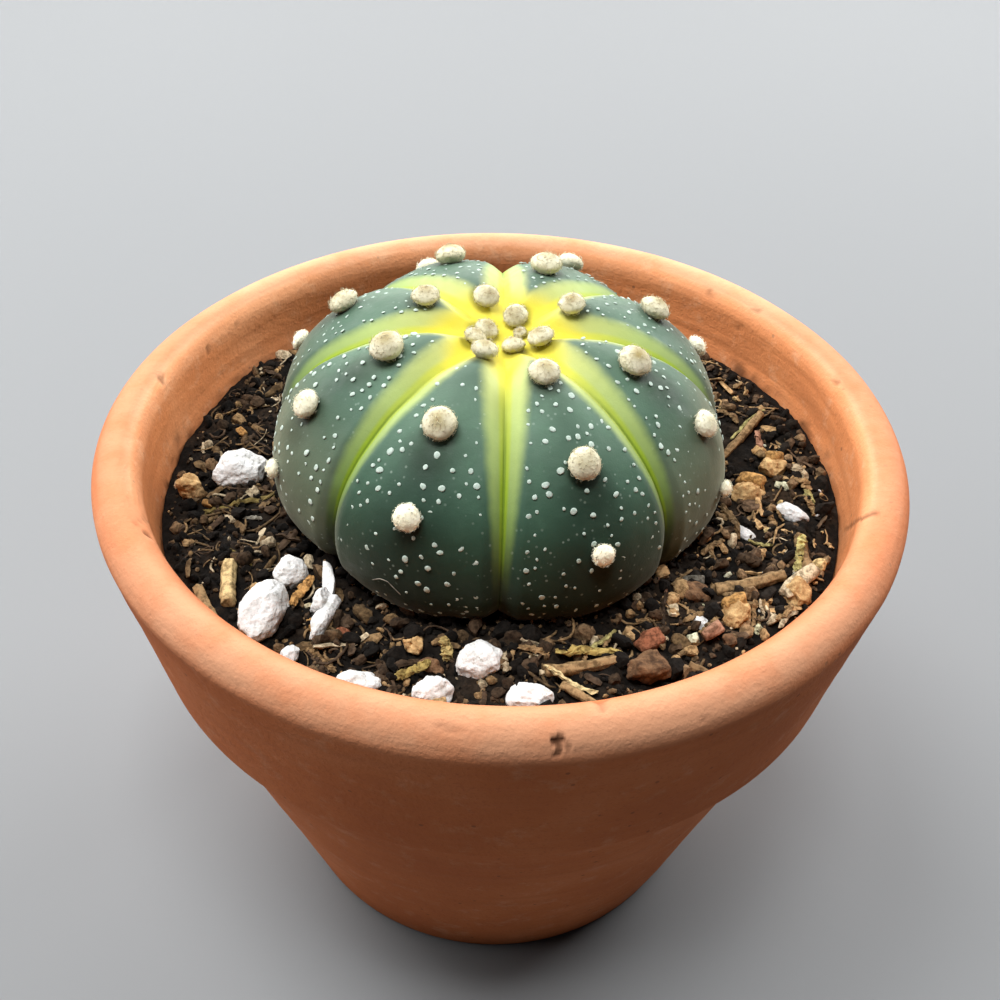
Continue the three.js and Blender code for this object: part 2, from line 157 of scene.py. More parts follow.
# Hairs, flecks and litter
WOOL_HAIRS = 200
FLECKS_PER_RIB = 125
FLECK_TRIES = 6000
FLECK_SPACING = 0.82
CRUMB_KINDS = 8
FIBRES = 600
CHIPS = 300


# Random numbers and noise
def hashed(cells, seed):
    """A repeatable number from 0 to 1 for each row of whole numbers"""
    primes = (73856093, 19349663, 83492791)
    mixed = np.full(len(cells), seed * 2654435761 % 4294967296, dtype=np.uint64)
    for column, prime in enumerate(primes[:cells.shape[1]]):
        mixed ^= (cells[:, column].astype(np.int64) * prime).astype(np.uint64)
        mixed = (mixed ^ (mixed >> np.uint64(15))) * np.uint64(2246822519)
        mixed &= np.uint64(0xFFFFFFFF)
    mixed = (mixed ^ (mixed >> np.uint64(13))) * np.uint64(3266489917) & np.uint64(0xFFFFFFFF)
    return (mixed ^ (mixed >> np.uint64(16))) / 4294967296.0


def neighbours(dimensions, low, high):
    """Every whole-number step from low to high along each axis"""
    axes = [np.arange(low, high + 1)] * dimensions
    return np.stack(np.meshgrid(*axes, indexing="ij"), -1).reshape(-1, dimensions)


def smooth_noise(points, size, seed):
    """Noise from -1 to 1 that changes over about the given size"""
    scaled = points / size
    cell = np.floor(scaled).astype(np.int64)
    share = scaled - cell
    share = share * share * (3 - 2 * share)
    total = np.zeros(len(points))
    for step in neighbours(points.shape[1], 0, 1):
        weight = np.where(step, share, 1 - share).prod(1)
        total += weight * hashed(cell + step, seed)
    return 2 * total - 1


def layered_noise(points, size, seed, layers):
    return sum(smooth_noise(points, size / 2 ** layer, seed + layer) / 2 ** layer for layer in range(layers))


def grain_distance(points, size, seed):
    """Distance to the nearest of the grains scattered one to a cell, as a share of the cell size"""
    scaled = points / size
    cell = np.floor(scaled).astype(np.int64)
    nearest = np.full(len(points), 9.0)
    for step in neighbours(points.shape[1], -1, 1):
        corner = cell + step
        jitter = np.stack([hashed(corner, seed + axis) for axis in range(points.shape[1])], 1)
        nearest = np.minimum(nearest, ((corner + jitter - scaled) ** 2).sum(1))
    return np.sqrt(nearest)


def smoothstep(value, low, high):
    share = np.clip((value - low) / (high - low), 0, 1)
    return share * share * (3 - 2 * share)


# Mesh building
def unit(rows):
    return rows / np.linalg.norm(rows, axis=-1, keepdims=True)


def polar(radius, turn, height):
    """Points at a radius and a turn about +Z, at their heights"""
    return np.stack(np.broadcast_arrays(radius * np.cos(turn), radius * np.sin(turn), height), -1)


def ring_faces(rings, sides, closed=False):
    """Quads between rings of points, each ring with the same number of sides"""
    ring = np.arange(rings if closed else rings - 1)[:, None]
    side = np.arange(sides)[None, :]
    here = ring * sides
    above = (ring + 1) % rings * sides
    after = (side + 1) % sides
    return np.stack([here + side, here + after, above + after, above + side], -1).reshape(-1, 4)


def halved(quads):
    return np.concatenate([quads[:, [0, 1, 2]], quads[:, [0, 2, 3]]])


def end_fans(rings, sides):
    """Triangles that close a stack of rings with the two points that follow them, the lower one first"""
    side = np.arange(sides)
    after = (side + 1) % sides
    pole, top = rings * sides, (rings - 1) * sides
    return np.concatenate([np.stack([np.full(sides, pole), after, side], -1),
                           np.stack([np.full(sides, pole + 1), top + side, top + after], -1)])


def closed_faces(rings, sides):
    return ring_faces(rings, sides).tolist() + end_fans(rings, sides).tolist()


def rotations_to(directions, spins):
    """Turns +Z to each direction, after a spin about +Z"""
    z = unit(directions)
    x = unit(np.cross(np.where(np.abs(z[:, 2:3]) < 0.9, [[0, 0, 1.0]], [[1.0, 0, 0]]), z))
    y = np.cross(z, x)
    c, s = np.cos(spins)[:, None], np.sin(spins)[:, None]
    return np.stack([c * x + s * y, c * y - s * x, z], 2)


def copies(template, turns, sizes, places):
    """Copies of one template's points, each turned, sized along its own axes and placed"""
    sized = template[None] * sizes[:, None, :]
    return (np.einsum("nij,nvj->nvi", turns, sized) + places[:, None, :]).reshape(-1, 3)


def copied_faces(faces, count, points_each):
    return (faces[None] + (np.arange(count) * points_each)[:, None, None]).reshape(-1, faces.shape[1])


def taken_apart(shape):
    """The points, normals and faces of a bmesh, which is freed"""
    points, normals = (np.array([getattr(v, key) for v in shape.verts]) for key in ("co", "normal"))
    faces = np.array([[v.index for v in f.verts] for f in shape.faces])
    shape.free()
    return points, normals, faces


def ball(subdivisions):
    """An icosphere of radius 1 as points and triangles"""
    shape = bmesh.new()
    bmesh.ops.create_icosphere(shape, subdivisions=subdivisions, radius=1)
    points, _, faces = taken_apart(shape)
    return points, faces


def cut_flat(random, points, cuts, shallow=0.9, deep=0.55):
    """Slices flat faces off points that fill a ball of radius 1"""
    for normal, depth in zip(random.normal(size=(cuts, 3)), random.uniform(deep, shallow, cuts)):
        points = points - np.maximum(points @ unit(normal) - depth, 0)[:, None] * unit(normal)
    return points


def add_object(name, data):
    item = bpy.data.objects.new(name, data)
    bpy.context.scene.collection.objects.link(item)
    return item


def add_mesh(name, points, faces, material, slot, replaces=(), smooth=True, **values):
    """Makes a piece from points in millimetres, with named values for them, riding on the only body"""
    mesh = bpy.data.meshes.new(name)
    mesh.from_pydata((points * MM).tolist(), [], faces if isinstance(faces, list) else faces.tolist())
    for key, numbers in values.items():
        kind, field = "FLOAT", "value"
        if key == "tint":
            kind, field = "FLOAT_COLOR", "color"
            numbers = np.insert(numbers, 3, 1, axis=1)
        mesh.attributes.new(key, kind, "POINT").data.foreach_set(field, np.ravel(numbers))
    mesh.polygons.foreach_set("use_smooth", [smooth] * len(mesh.polygons))
    mesh.materials.append(material)
    mesh.update()
    piece = add_object(name, mesh)
    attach(piece, "root")
    if replaces:
        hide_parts(*replaces)


class Heap:
    """Collects many small shapes into one mesh, with a tint or another value for the points of each"""

    def __init__(self):
        self.points, self.faces, self.values, self.count = [], [], [], 0

    def add(self, points, faces, value):
        self.points.append(points)
        self.faces.append(faces + self.count)
        self.values.append(np.broadcast_to(value, (len(points), np.shape(value)[-1])))
        self.count += len(points)

    def finish(self, name, material, slot, key="tint", smooth=True):
        points, faces, values = map(np.concatenate, (self.points, self.faces, self.values))
        add_mesh(name, points, faces, material, slot, smooth=smooth, **{key: values})


# Materials
class Look:
    """A material, with short calls that add nodes to it and lay colours over its base colour"""

    def __init__(self, name, **sockets):
        self.material = bpy.data.materials.new(name)
        self.material.use_nodes = True
        self.tree = self.material.node_tree
        self.shader = self.tree.nodes["Principled BSDF"].inputs
        for socket, value in sockets.items():
            self.shader[socket.replace("_", " ")].default_value = value
        self.place = self.add("TexCoord", "Object", {})

    def set(self, socket, value):
        if isinstance(value, bpy.types.NodeSocket):
            self.tree.links.new(value, socket)
        else:
            socket.default_value = value

    def add(self, kind, output, inputs, **settings):
        """Adds a node with its settings and its inputs, by name or place, and gives one of its outputs"""
        node = self.tree.nodes.new("ShaderNode" + kind)
        for key, value in settings.items():
            setattr(node, key, value)
        for key, value in inputs.items():
            self.set(node.inputs[key], value)
        return node.outputs[output]

    def attribute(self, name, output="Fac"):
        return self.add("Attribute", output, {}, attribute_name=name)

    def noise(self, size, detail=3, roughness=0.55, stretch=None):
        """Noise whose grains are about the given size in millimetres"""
        place = self.add("Mapping", 0, {"Vector": self.place, "Scale": stretch}) if stretch else self.place
        inputs = {"Vector": place, "Scale": 1 / (size * MM), "Detail": detail, "Roughness": roughness}
        return self.add("TexNoise", "Fac", inputs)

    def cells(self, size):
        return self.add("TexVoronoi", "Distance", {"Vector": self.place, "Scale": 1 / (size * MM)})

    def ramp(self, value, *stops):
        """A colour for each value between the stops, each a place and an RGB colour"""
        node = self.tree.nodes.new("ShaderNodeValToRGB")
        elements = node.color_ramp.elements
        while len(elements) < len(stops):
            elements.new(0.5)
        for element, (place, colour) in zip(elements, stops):
            element.position = place
            element.color = (*colour, 1)
        self.set(node.inputs["Fac"], value)
        return node.outputs["Color"]

    def math(self, operation, first, second):
        return self.add("Math", 0, {0: first, 1: second}, operation=operation)

    def times(self, first, second):
        return self.math("MULTIPLY", first, second)

    def step(self, value, low, high, at_low=0.0, at_high=1.0):
        """A soft step between two values"""
        inputs = dict(enumerate((value, low, high, at_low, at_high)))
        return self.add("MapRange", 0, inputs, interpolation_type="SMOOTHSTEP")

    def cover(self, share, colour, blend="MIX"):
        """Lays a colour over the base colour, to a share"""
        # Inputs 6 and 7 and output 2 of a mix node are its colours
        below, above = ((*c, 1) if isinstance(c, tuple) else c for c in (self.base, colour))
        self.base = self.add("Mix", 2, {0: share, 6: below, 7: above}, data_type="RGBA", blend_type=blend)

    def stain(self, share, factors):
        """Multiplies the base colour by factors, to a share"""
        self.cover(share, factors, "MULTIPLY")

    def bump(self, height, depth):
        """Relief of the given depth in millimetres, added over any earlier relief"""
        normal = self.shader["Normal"]
        inputs = {"Strength": 1, "Distance": depth * MM, "Height": height}
        if normal.links:
            inputs["Normal"] = normal.links[0].from_socket
        self.set(normal, self.add("Bump", "Normal", inputs))

    def finish(self):
        self.set(self.shader["Base Color"], self.base)
        return self.material


def terracotta_look():
    look = Look("terracotta", Roughness=0.85, Specular_IOR_Level=0.1)
    bands = look.noise(2.4, stretch=(0.12, 0.12, 1.6))
    grain = look.noise(0.35, detail=2)
    look.base = look.ramp(look.noise(14, detail=4), (0.3, (0.47, 0.13, 0.044)), (0.55, (0.54, 0.158, 0.054)),
                          (0.75, (0.6, 0.2, 0.08)))
    look.cover(look.step(bands, 0.45, 0.75, 0, 0.35), (0.44, 0.13, 0.046))
    look.cover(look.step(look.noise(3.2, detail=5, roughness=0.7), 0.52, 0.72, 0, 0.22), (0.7, 0.4, 0.24))
    look.cover(look.step(grain, 0.56, 0.7, 0, 0.35), (0.37, 0.1, 0.04))
    look.cover(look.step(look.cells(2.6), 0.05, 0.1, 0.65, 0), (0.2, 0.075, 0.035))
    # The worn lip colour is real wear, with painted light paler at the front and painted shade on the right
    rubbed = look.step(look.noise(5, detail=5), 0.25, 0.6, 0.55, 1)
    look.cover(look.times(look.attribute("worn"), rubbed), (0.58, 0.28, 0.155))
    # Painted light: a lit copy of the clay on the inside wall and on the crest away from the front
    look.stain(look.attribute("inner"), (1.38, 1.76, 1.95))
    # Soil stains and dark specks, with painted shade in the chip and cracks
    look.cover(look.attribute("dirt"), (0.06, 0.022, 0.01))
    look.bump(bands, 0.12)
    look.bump(grain, 0.05)
    look.bump(look.noise(1.1, detail=4, roughness=0.65), 0.1)
    return look.finish()


def skin_look():
    """Blue-green skin, turning to yellow at the crown and along the furrows"""
    look = Look("cactus_skin", Specular_IOR_Level=0.2, Sheen_Weight=0.17, Sheen_Roughness=0.42,
                Sheen_Tint=(1, 0.98, 0.78, 1))
    arc = look.attribute("arc")
    furrow = look.attribute("furrow")
    down = look.times(arc, 1 / 40)
    mottle = look.noise(1.3, detail=4, roughness=0.6)
    # Darker down the rib to near black by the soil: partly the skin's own tone, partly painted shade on the
    # lower body
    look.base = look.ramp(
        down, (0.14, (0.08, 0.13, 0.094)), (0.35, (0.045, 0.085, 0.058)), (0.55, (0.021, 0.05, 0.032)),
        (0.72, (0.006, 0.02, 0.012)), (0.88, (0.003, 0.009, 0.004)))
    look.stain(look.step(look.noise(6, detail=2), 0.35, 0.7, 0, 0.3), (1.45, 1.4, 1.45))
    look.stain(look.step(mottle, 0.5, 0.75, 0, 0.22), (1.8, 1.7, 1.7))
    # Painted light: the green beside the furrows is lightened, below the crown
    look.stain(look.times(look.step(furrow, 2.5, 7.5, 0.75, 0), look.step(arc, 8, 15)), (1.95, 1.9, 1.85))
    # Painted light: paler grey-green low on some ribs, set rib by rib
    look.cover(look.attribute("bloom"), (0.12, 0.15, 0.095))
    dots = look.times(look.step(look.cells(0.8), 0.1, 0.2, 0.4, 0), look.step(look.noise(3), 0.4, 0.6))
    look.cover(dots, (0.3, 0.38, 0.32))
    away = look.math("DIVIDE", furrow, look.step(arc, 6, 33, 1.1, 0.36))
    ragged = look.math("ADD", away, look.times(look.math("SUBTRACT", mottle, 0.5), 0.5))
    edge_colour = look.ramp(
        down, (0.1, (0.5, 0.5, 0.17)), (0.35, (0.36, 0.45, 0.15)), (0.6, (0.16, 0.25, 0.07)),
        (0.72, (0.04, 0.075, 0.02)), (0.8, (0.01, 0.02, 0.008)))
    strip_colour = look.ramp(
        down, (0.12, (0.6, 0.54, 0.05)), (0.3, (0.42, 0.48, 0.08)), (0.5, (0.26, 0.37, 0.022)),
        (0.66, (0.14, 0.23, 0.014)), (0.75, (0.02, 0.04, 0.008)))
    look.cover(look.step(ragged, 1.2, 2.6, 1, 0), edge_colour)
    look.cover(look.step(away, 0.35, 0.8, 1, 0), strip_colour)
    look.stain(look.times(look.step(away, 0.05, 0.32, 0.8, 0), look.step(arc, 8, 18)), (0.42, 0.5, 0.4))
    look.cover(look.step(look.math("ADD", arc, look.times(away, 0.9)), 6, 9.5, 1, 0), (0.64, 0.56, 0.05))
    # Painted shadow below each button
    look.stain(look.times(look.attribute("foot"), 0.75), (0.3, 0.3, 0.22))
    # Patchy near black within 4 mm of the soil: soil on the skin, darkened further as painted shade at the
    # base
    patchy = look.step(look.noise(0.9, detail=5), 0.42, 0.6)
    look.cover(look.times(look.step(look.attribute("level"), 0, 4, 0.7, 0), patchy), (0.008, 0.007, 0.004))
    look.set(look.shader["Roughness"], look.step(mottle, 0.3, 0.7, 0.52, 0.7))
    look.bump(mottle, 0.05)
    look.bump(look.noise(0.16, detail=2), 0.012)
    return look.finish()


def wool_look():
    """Felted wool: cream where it is old, tan with brown tufts where it is young"""
    look = Look("areole_wool", Roughness=0.95, Specular_IOR_Level=0.1, Sheen_Weight=0.18,
                Sheen_Tint=(1, 0.94, 0.66, 1))
    tuft = look.noise(0.3, roughness=0.6)
    worn = look.attribute("worn")
    look.base = (0.95, 0.93, 0.74)
    look.cover(worn, (0.26, 0.195, 0.06))
    browned = look.times(look.step(tuft, 0.5, 0.66), look.step(worn, 0.2, 1.0, 0.1, 0.6))
    look.cover(browned, (0.23, 0.145, 0.07))
    look.bump(tuft, 0.05)
    return look.finish()


def plain_look(name, first, second, size, depth):
    """A dull material that wanders between two colours and has matching relief"""
    look = Look(name, Roughness=0.9, Specular_IOR_Level=0.2)
    grain = look.noise(size, detail=5, roughness=0.65)
    look.base = look.ramp(grain, (0.35, first), (0.68, second))
    look.bump(grain, depth)
    look.bump(look.noise(size / 4), depth / 3)
    return look.finish()


def tinted_look(name, size, depth, roughness=0.95):
    """A dull material whose colour is each grain's own tint"""
    look = Look(name, Roughness=roughness, Specular_IOR_Level=0.15)
    grain = look.noise(size, detail=4, roughness=0.65)
    look.base = look.attribute("tint", "Color")
    look.stain(look.step(grain, 0.35, 0.62, 1, 0), (0.35, 0.33, 0.3))
    look.bump(grain, depth)
    return look.finish()


def perlite_look():
    look = Look("perlite", Roughness=0.9, Specular_IOR_Level=0.3)
    pores = look.cells(0.42)
    patches = look.noise(1.5, detail=5, roughness=0.65)
    grains = look.noise(0.25, roughness=0.6)
    look.base = look.ramp(patches, (0.32, (0.5, 0.49, 0.46)), (0.46, (0.7, 0.7, 0.685)),
                          (0.7, (0.78, 0.78, 0.78)))
    pitted = look.times(look.step(pores, 0.08, 0.26, 1, 0), look.step(patches, 0.4, 0.52, 0.75, 0.12))
    look.cover(pitted, (0.26, 0.24, 0.2))
    look.cover(look.step(grains, 0.35, 0.5, 0.35, 0), (0.42, 0.41, 0.38))
    look.bump(pores, 0.1)
    look.bump(grains, 0.1)
    return look.finish()


TERRACOTTA = terracotta_look()
SKIN = skin_look()
WOOL = wool_look()
FLECK = plain_look("fleck_felt", (0.34, 0.43, 0.37), (0.52, 0.6, 0.54), 0.5, 0.03)
SOIL = tinted_look("potting_soil", 0.7, 0.25)
CRUMB = tinted_look("soil_crumbs", 0.5, 0.15)
PERLITE = perlite_look()
GRIT = plain_look("clay_grit", (0.26, 0.13, 0.045), (0.7, 0.47, 0.22), 0.8, 0.16)
BARK = plain_look("bark", (0.055, 0.028, 0.014), (0.24, 0.13, 0.065), 0.9, 0.2)
WOOD = tinted_look("dry_wood", 0.6, 0.08, roughness=0.8)
COIR = tinted_look("coir_lumps", 0.45, 0.12, roughness=0.9)

# Tints of the soil and the litter
DARK_PEAT = np.array([0.007, 0.0053, 0.004])
BROWN_PEAT = np.array([0.058, 0.036, 0.021])
TAN = np.array([0.3, 0.19, 0.09])
CREAM = np.array([0.62, 0.5, 0.33])
STRAW = np.array([0.66, 0.58, 0.23])
OLIVE = np.array([0.3, 0.22, 0.07])
ORANGE = np.array([0.46, 0.25, 0.085])
PINK = np.array([0.42, 0.22, 0.14])
RED_BARK = np.array([0.15, 0.055, 0.028])
GREY = np.array([0.24, 0.22, 0.18])
ROOT = np.array([0.3, 0.2, 0.11])


# Places that the photograph shows
def camera_turn():
    reach = math.cos(CAMERA_PITCH)
    forward = Vector((math.sin(CAMERA_YAW) * reach, math.cos(CAMERA_YAW) * reach, -math.sin(CAMERA_PITCH)))
    level = forward.cross(Vector((0, 0, 1))).normalized()
    up = level.cross(forward)
    right = math.cos(CAMERA_ROLL) * level + math.sin(CAMERA_ROLL) * up
    up = math.cos(CAMERA_ROLL) * up - math.sin(CAMERA_ROLL) * level
    return Matrix((right, up, -forward)).transposed()


CAMERA_TURN = camera_turn()


def pixel_direction(pixel):
    """The direction from the camera through a pixel of the photograph"""
    across, down = pixel[0] - FRAME_PIXELS / 2, pixel[1] - FRAME_PIXELS / 2
    return CAMERA_TURN @ Vector((across, -down, -FOCAL_PIXELS)).normalized()


def seen_at(tree, pixel):
    """The point in millimetres and the normal of a surface where the photograph shows a pixel of it"""
    place, normal, _, _ = tree.ray_cast(CAMERA_PLACE / MM, pixel_direction(pixel))
    return np.array(place), np.array(normal)


# Pot
def arc_points(centre, radii, start, end, steps):
    angles = np.linspace(start, end, steps + 1)
    return [(centre[0] + radii[0] * math.cos(a), centre[1] + radii[1] * math.sin(a)) for a in angles]


def line_points(start, end, steps):
    """Points from start up to, but not at, end"""
    return np.linspace(start, end, steps, endpoint=False).tolist()


def pot_inner_radius(height):
    slope = (COLLAR_BOTTOM_RADIUS - COLLAR_STEP - FOOT_RADIUS) / COLLAR_BOTTOM
    return FOOT_RADIUS - WALL + slope * height


def pot_outline():
    """The pot's section, from the drain hole's lower edge round the outside, over the lip and back"""
    edge, quarter = COLLAR_EDGE_ROUND, math.pi / 2
    lip_level = POT_HEIGHT - LIP_DROP
    lip_centre = (RIM_RADIUS - LIP_OUTER_ROUND, lip_level)
    foot = (FOOT_RADIUS - FOOT_CHAMFER, 0)
    body_top = (COLLAR_BOTTOM_RADIUS - COLLAR_STEP, COLLAR_BOTTOM - edge)
    wall_levels = (SOIL_LEVEL + 1.5, SOIL_LEVEL - 2, FLOOR_THICKNESS + FLOOR_CORNER)
    inside = [
        (lip_centre[0] - LIP_INNER_ROUND, lip_level),
        *((pot_inner_radius(level), level) for level in wall_levels),
        (pot_inner_radius(FLOOR_THICKNESS) - FLOOR_CORNER, FLOOR_THICKNESS),
        (DRAIN_RADIUS, FLOOR_THICKNESS),
        (DRAIN_RADIUS, 0),
    ]
    outline = [
        *line_points((DRAIN_RADIUS, 0), foot, 8),
        *arc_points((foot[0], FOOT_CHAMFER), (FOOT_CHAMFER, FOOT_CHAMFER), -quarter, 0, 4),
        *line_points((FOOT_RADIUS, FOOT_CHAMFER), body_top, 60)[1:],
        body_top,
        (body_top[0] + 0.25, COLLAR_BOTTOM - 0.2),
        *arc_points((COLLAR_BOTTOM_RADIUS - edge, COLLAR_BOTTOM + edge), (edge, edge), -quarter, 0, 5),
        *line_points((COLLAR_BOTTOM_RADIUS, COLLAR_BOTTOM + edge), (RIM_RADIUS, lip_level), 32)[1:],
        *arc_points(lip_centre, (LIP_OUTER_ROUND, LIP_DROP), 0, quarter, 14),
        *arc_points(lip_centre, (LIP_INNER_ROUND, LIP_DROP), quarter, math.pi, 12)[1:-1],
    ]
    for start, end, steps in zip(inside, inside[1:], (12, 6, 3, 3, 3, 4)):
        outline += line_points(start, end, steps)
    return outline


# Marks on the pot, from one pixel to another, with their size and depth in millimetres and how dark they are
Mark = namedtuple("Mark", "start end size depth dark")
CHIP_AZIMUTH = 1.5 * math.pi + 0.12
CHIP_BREADTH = 0.07
CHIP_LEFT = (554, 742)
CHIP_RIGHT = (560, 740)
CHIP_FOOT = (557, 754)
LIP_CRACK = [(847, 527), (854, 523), (861, 519), (869, 515), (877, 512)]
# The dark of each mark is painted shade in the chip and the cracks, and the specks' own dark
POT_MARKS = [
    Mark(CHIP_LEFT, CHIP_RIGHT, 0.42, 0.4, 0.9),
    Mark(CHIP_RIGHT, CHIP_FOOT, 0.34, 0.12, 0.8),
    Mark((563, 743), (568, 747), 0.42, 0.12, 0.45),
    Mark((601, 700), (602, 707), 0.55, 0.3, 0.35),
    Mark((437, 724), (461, 733), 0.22, 0.15, 0.3),
    *(Mark(start, end, 0.3, 0.06, 0.6) for start, end in zip(LIP_CRACK, LIP_CRACK[1:])),
    Mark((738, 329), (757, 310), 0.32, 0.12, 0.4),
    Mark((208, 347), (209, 350), 0.5, 0.15, 0.5),
    Mark((161, 377), (163, 381), 0.5, 0.15, 0.6),
    Mark((236, 323), (238, 324), 0.4, 0.1, 0.3),
    Mark((147, 533), (150, 535), 0.4, 0.3, 0.9),
    Mark((160, 519), (161, 521), 0.3, 0.1, 0.4),
    Mark((136, 523), (146, 519), 0.3, 0.1, 0.25),
    Mark((709, 292), (710, 294), 0.4, 0.15, 0.4),
    Mark((835, 381), (836, 383), 0.35, 0.2, 0.4),
    Mark((700, 720), (701, 721), 0.3, 0.2, 0.4),
]


def press_marks(points, faces):
    """Presses the marks into the pot's points and tells how dark each point is: painted shade in the chip
    and cracks, and dark specks
    """
    tree = BVHTree.FromPolygons(points.tolist(), faces.tolist())
    dirt = np.zeros(len(points))
    for index, mark in enumerate(POT_MARKS):
        start, normal = seen_at(tree, mark.start)
        along = seen_at(tree, mark.end)[0] - start
        share = np.clip((points - start) @ along / max(along @ along, 1e-9), 0, 1)
        ragged = 1 + 0.45 * layered_noise(points, mark.size * 0.9, 40 + index, 2)
        off = np.linalg.norm(points - start - share[:, None] * along, axis=1)
        near = smoothstep(off * ragged / mark.size, 1, 0.45)
        points -= near[:, None] * normal * mark.depth
        dirt = np.maximum(dirt, near * mark.dark)
    return dirt


def make_pot():
    outline = np.array(pot_outline())
    near_chip = CHIP_AZIMUTH + np.linspace(-CHIP_BREADTH, CHIP_BREADTH, CHIP_COLUMNS)
    azimuths = np.unique(np.concatenate([np.arange(POT_SIDES) * TAU / POT_SIDES, near_chip]))
    ring = np.repeat(np.arange(len(outline)), len(azimuths))
    turn = np.tile(azimuths, len(outline))
    radius, height = outline[ring].T
    points = polar(radius, turn, height)
    wobble = 0.13 * layered_noise(points, 24, 3, 2) + 0.035 * layered_noise(points * [0.3, 0.3, 2], 3, 5, 3)
    points += polar(1, turn, 0) * (wobble * smoothstep(height, 0.5, 4))[:, None]
    faces = ring_faces(len(outline), len(azimuths), closed=True)
    dirt = press_marks(points, faces)
    from_crest = ring - np.argmax(outline[:, 1])
    inside = from_crest > 0
    dusty = smoothstep(layered_noise(points, 2.2, 9, 3), 0.1, 0.9)
    dirt = np.maximum(dirt, inside * smoothstep(height - SOIL_LEVEL, 1.8, 0.2) * (0.25 + 0.6 * dusty))
    drop = POT_HEIGHT - height
    backward = np.sin(turn)
    front = smoothstep(-backward, 0.2, 0.85)
    # Real wear on the lip, plus painted light and shade: paler at the front, less pale on the right of the
    # outer lip
    worn = np.maximum(smoothstep(drop, 3.6, 1.3) * (0.25 + 0.75 * front),
                      0.75 * smoothstep(drop, 1.3, 0.3) * (1 - front))
    worn *= 1 - 0.85 * front * smoothstep(from_crest, 0, 8)
    worn *= 1 - 0.65 * smoothstep(np.cos(turn), 0.3, 0.75) * smoothstep(drop, 0.9, 2.2)
    # Painted light: lighter inside below the lip, on the inner crest away from the front and the outer crest
    # at the back
    behind = smoothstep(backward, -0.75, -0.2) * smoothstep(drop, 0, 0.8)
    inner = np.maximum(inside * np.maximum(smoothstep(drop, 1.2, 4.5), behind),
                       0.55 * smoothstep(backward, 0.3, 0.8) * smoothstep(drop, 1.5, 0.5))
    add_mesh("pot_terracotta", points, faces, TERRACOTTA, "terracotta", ["pot"],
             dirt=dirt, worn=worn, inner=inner)


# Cactus
def make_meridian():
    """Arc length, radius, height and normal down one side of the cactus, from the crown to the underside"""
    angle = np.pi * np.arange(MERIDIAN_STEPS + 1) / MERIDIAN_STEPS
    power = 2 / CACTUS_ROUNDNESS
    radius = CACTUS_RADIUS * np.abs(np.sin(angle)) ** power
    rise = np.where(angle < np.pi / 2, CACTUS_RISE, -CACTUS_DROP)
    sink = CROWN_SINK * np.exp(-((radius / CROWN_SINK_WIDTH) ** 2)) * (rise > 0)
    height = rise * np.abs(np.cos(angle)) ** power - sink
    arc = np.concatenate([[0], np.cumsum(np.hypot(np.diff(radius), np.diff(height)))])
    across, down = np.gradient(radius, arc), np.gradient(height, arc)
    return arc, radius, height, -down, across


MERIDIAN = make_meridian()
MERIDIAN_LENGTH = MERIDIAN[0][-1]
CACTUS_TURN = np.array(Matrix.Rotation(LEAN_TO_RIGHT, 3, "Y") @ Matrix.Rotation(LEAN_TO_FRONT, 3, "X"))


def meridian_at(arc):
    return [np.interp(arc, MERIDIAN[0], column) for column in MERIDIAN[1:]]


def furrow_distance(radius, azimuth):
    turns = (azimuth - RIB_TWIST) / RIB_ANGLE
    return radius * np.abs(turns - np.round(turns)) * RIB_ANGLE


def skin_points(arc, azimuth, outset=0.0):
    """Points on the skin in the pot's frame, in millimetres"""
    radius, height, normal_out, normal_up = meridian_at(arc)
    away = furrow_distance(radius, azimuth)
    crease = np.maximum(0, 1 - away / FURROW_HALF_WIDTH)
    swell = RIB_SWELL * (1 + np.cos(RIB_COUNT * away / np.maximum(radius, 1e-6))) / 2
    fade = smoothstep(arc, FURROW_STARTS, FURROW_FULL)
    offset = outset - fade * (swell + FURROW_DEPTH * crease ** FURROW_SHARPNESS)
    local = polar(radius + offset * normal_out, azimuth, height + offset * normal_up)
    return local @ CACTUS_TURN.T + CACTUS_PLACE


def skin_normals(arc, azimuth):
    _, _, normal_out, normal_up = meridian_at(arc)
    return polar(normal_out, azimuth, normal_up) @ CACTUS_TURN.T


def make_taproot():
    """The short root below the body, closed at both ends"""
    levels = -CACTUS_DROP - np.array([TAPROOT_LENGTH, 12, 6, 1.5, -1])
    radii = np.array([TAPROOT_TIP_RADIUS, 1.9, 3.3, TAPROOT_RADIUS, TAPROOT_RADIUS])
    turn = np.arange(TAPROOT_SIDES) * TAU / TAPROOT_SIDES
    points = polar(radii[:, None], turn, levels[:, None]).reshape(-1, 3)
    points[:, :2] *= 1 + 0.08 * smooth_noise(points, 2.5, 31)[:, None]
    points = np.concatenate([points, polar(0, np.zeros(2), levels[[0, -1]])]) @ CACTUS_TURN.T + CACTUS_PLACE
    faces = closed_faces(len(levels), TAPROOT_SIDES)
    add_mesh("cactus_taproot", points, faces, WOOD, "cactus_skin", tint=np.tile(ROOT, (len(points), 1)))


def areole_places():
    """Number, arc and azimuth of each areole that stands clear of the soil"""
    found = []
    for n in range(AREOLE_YOUNGEST, AREOLE_OLDEST + 1):
        azimuth = RIB_TWIST + AREOLE_FIRST_AZIMUTH + AREOLE_TURN * n
        young = AREOLE_FIRST_ARC * AREOLE_CROWN_SHRINK ** -n
        grown = AREOLE_FIRST_ARC + AREOLE_PITCH * n - AREOLE_PITCH_LOSS * n * n
        shift = AREOLE_CENTRE_SHIFT * math.sin(azimuth) * min(1, young / AREOLE_FIRST_ARC)
        arc = (young if n < 0 else grown) + shift
        if skin_points(arc, azimuth)[2] > SOIL_LEVEL + AREOLE_SOIL_MARGIN:
            found.append((n, arc, azimuth))
    return found


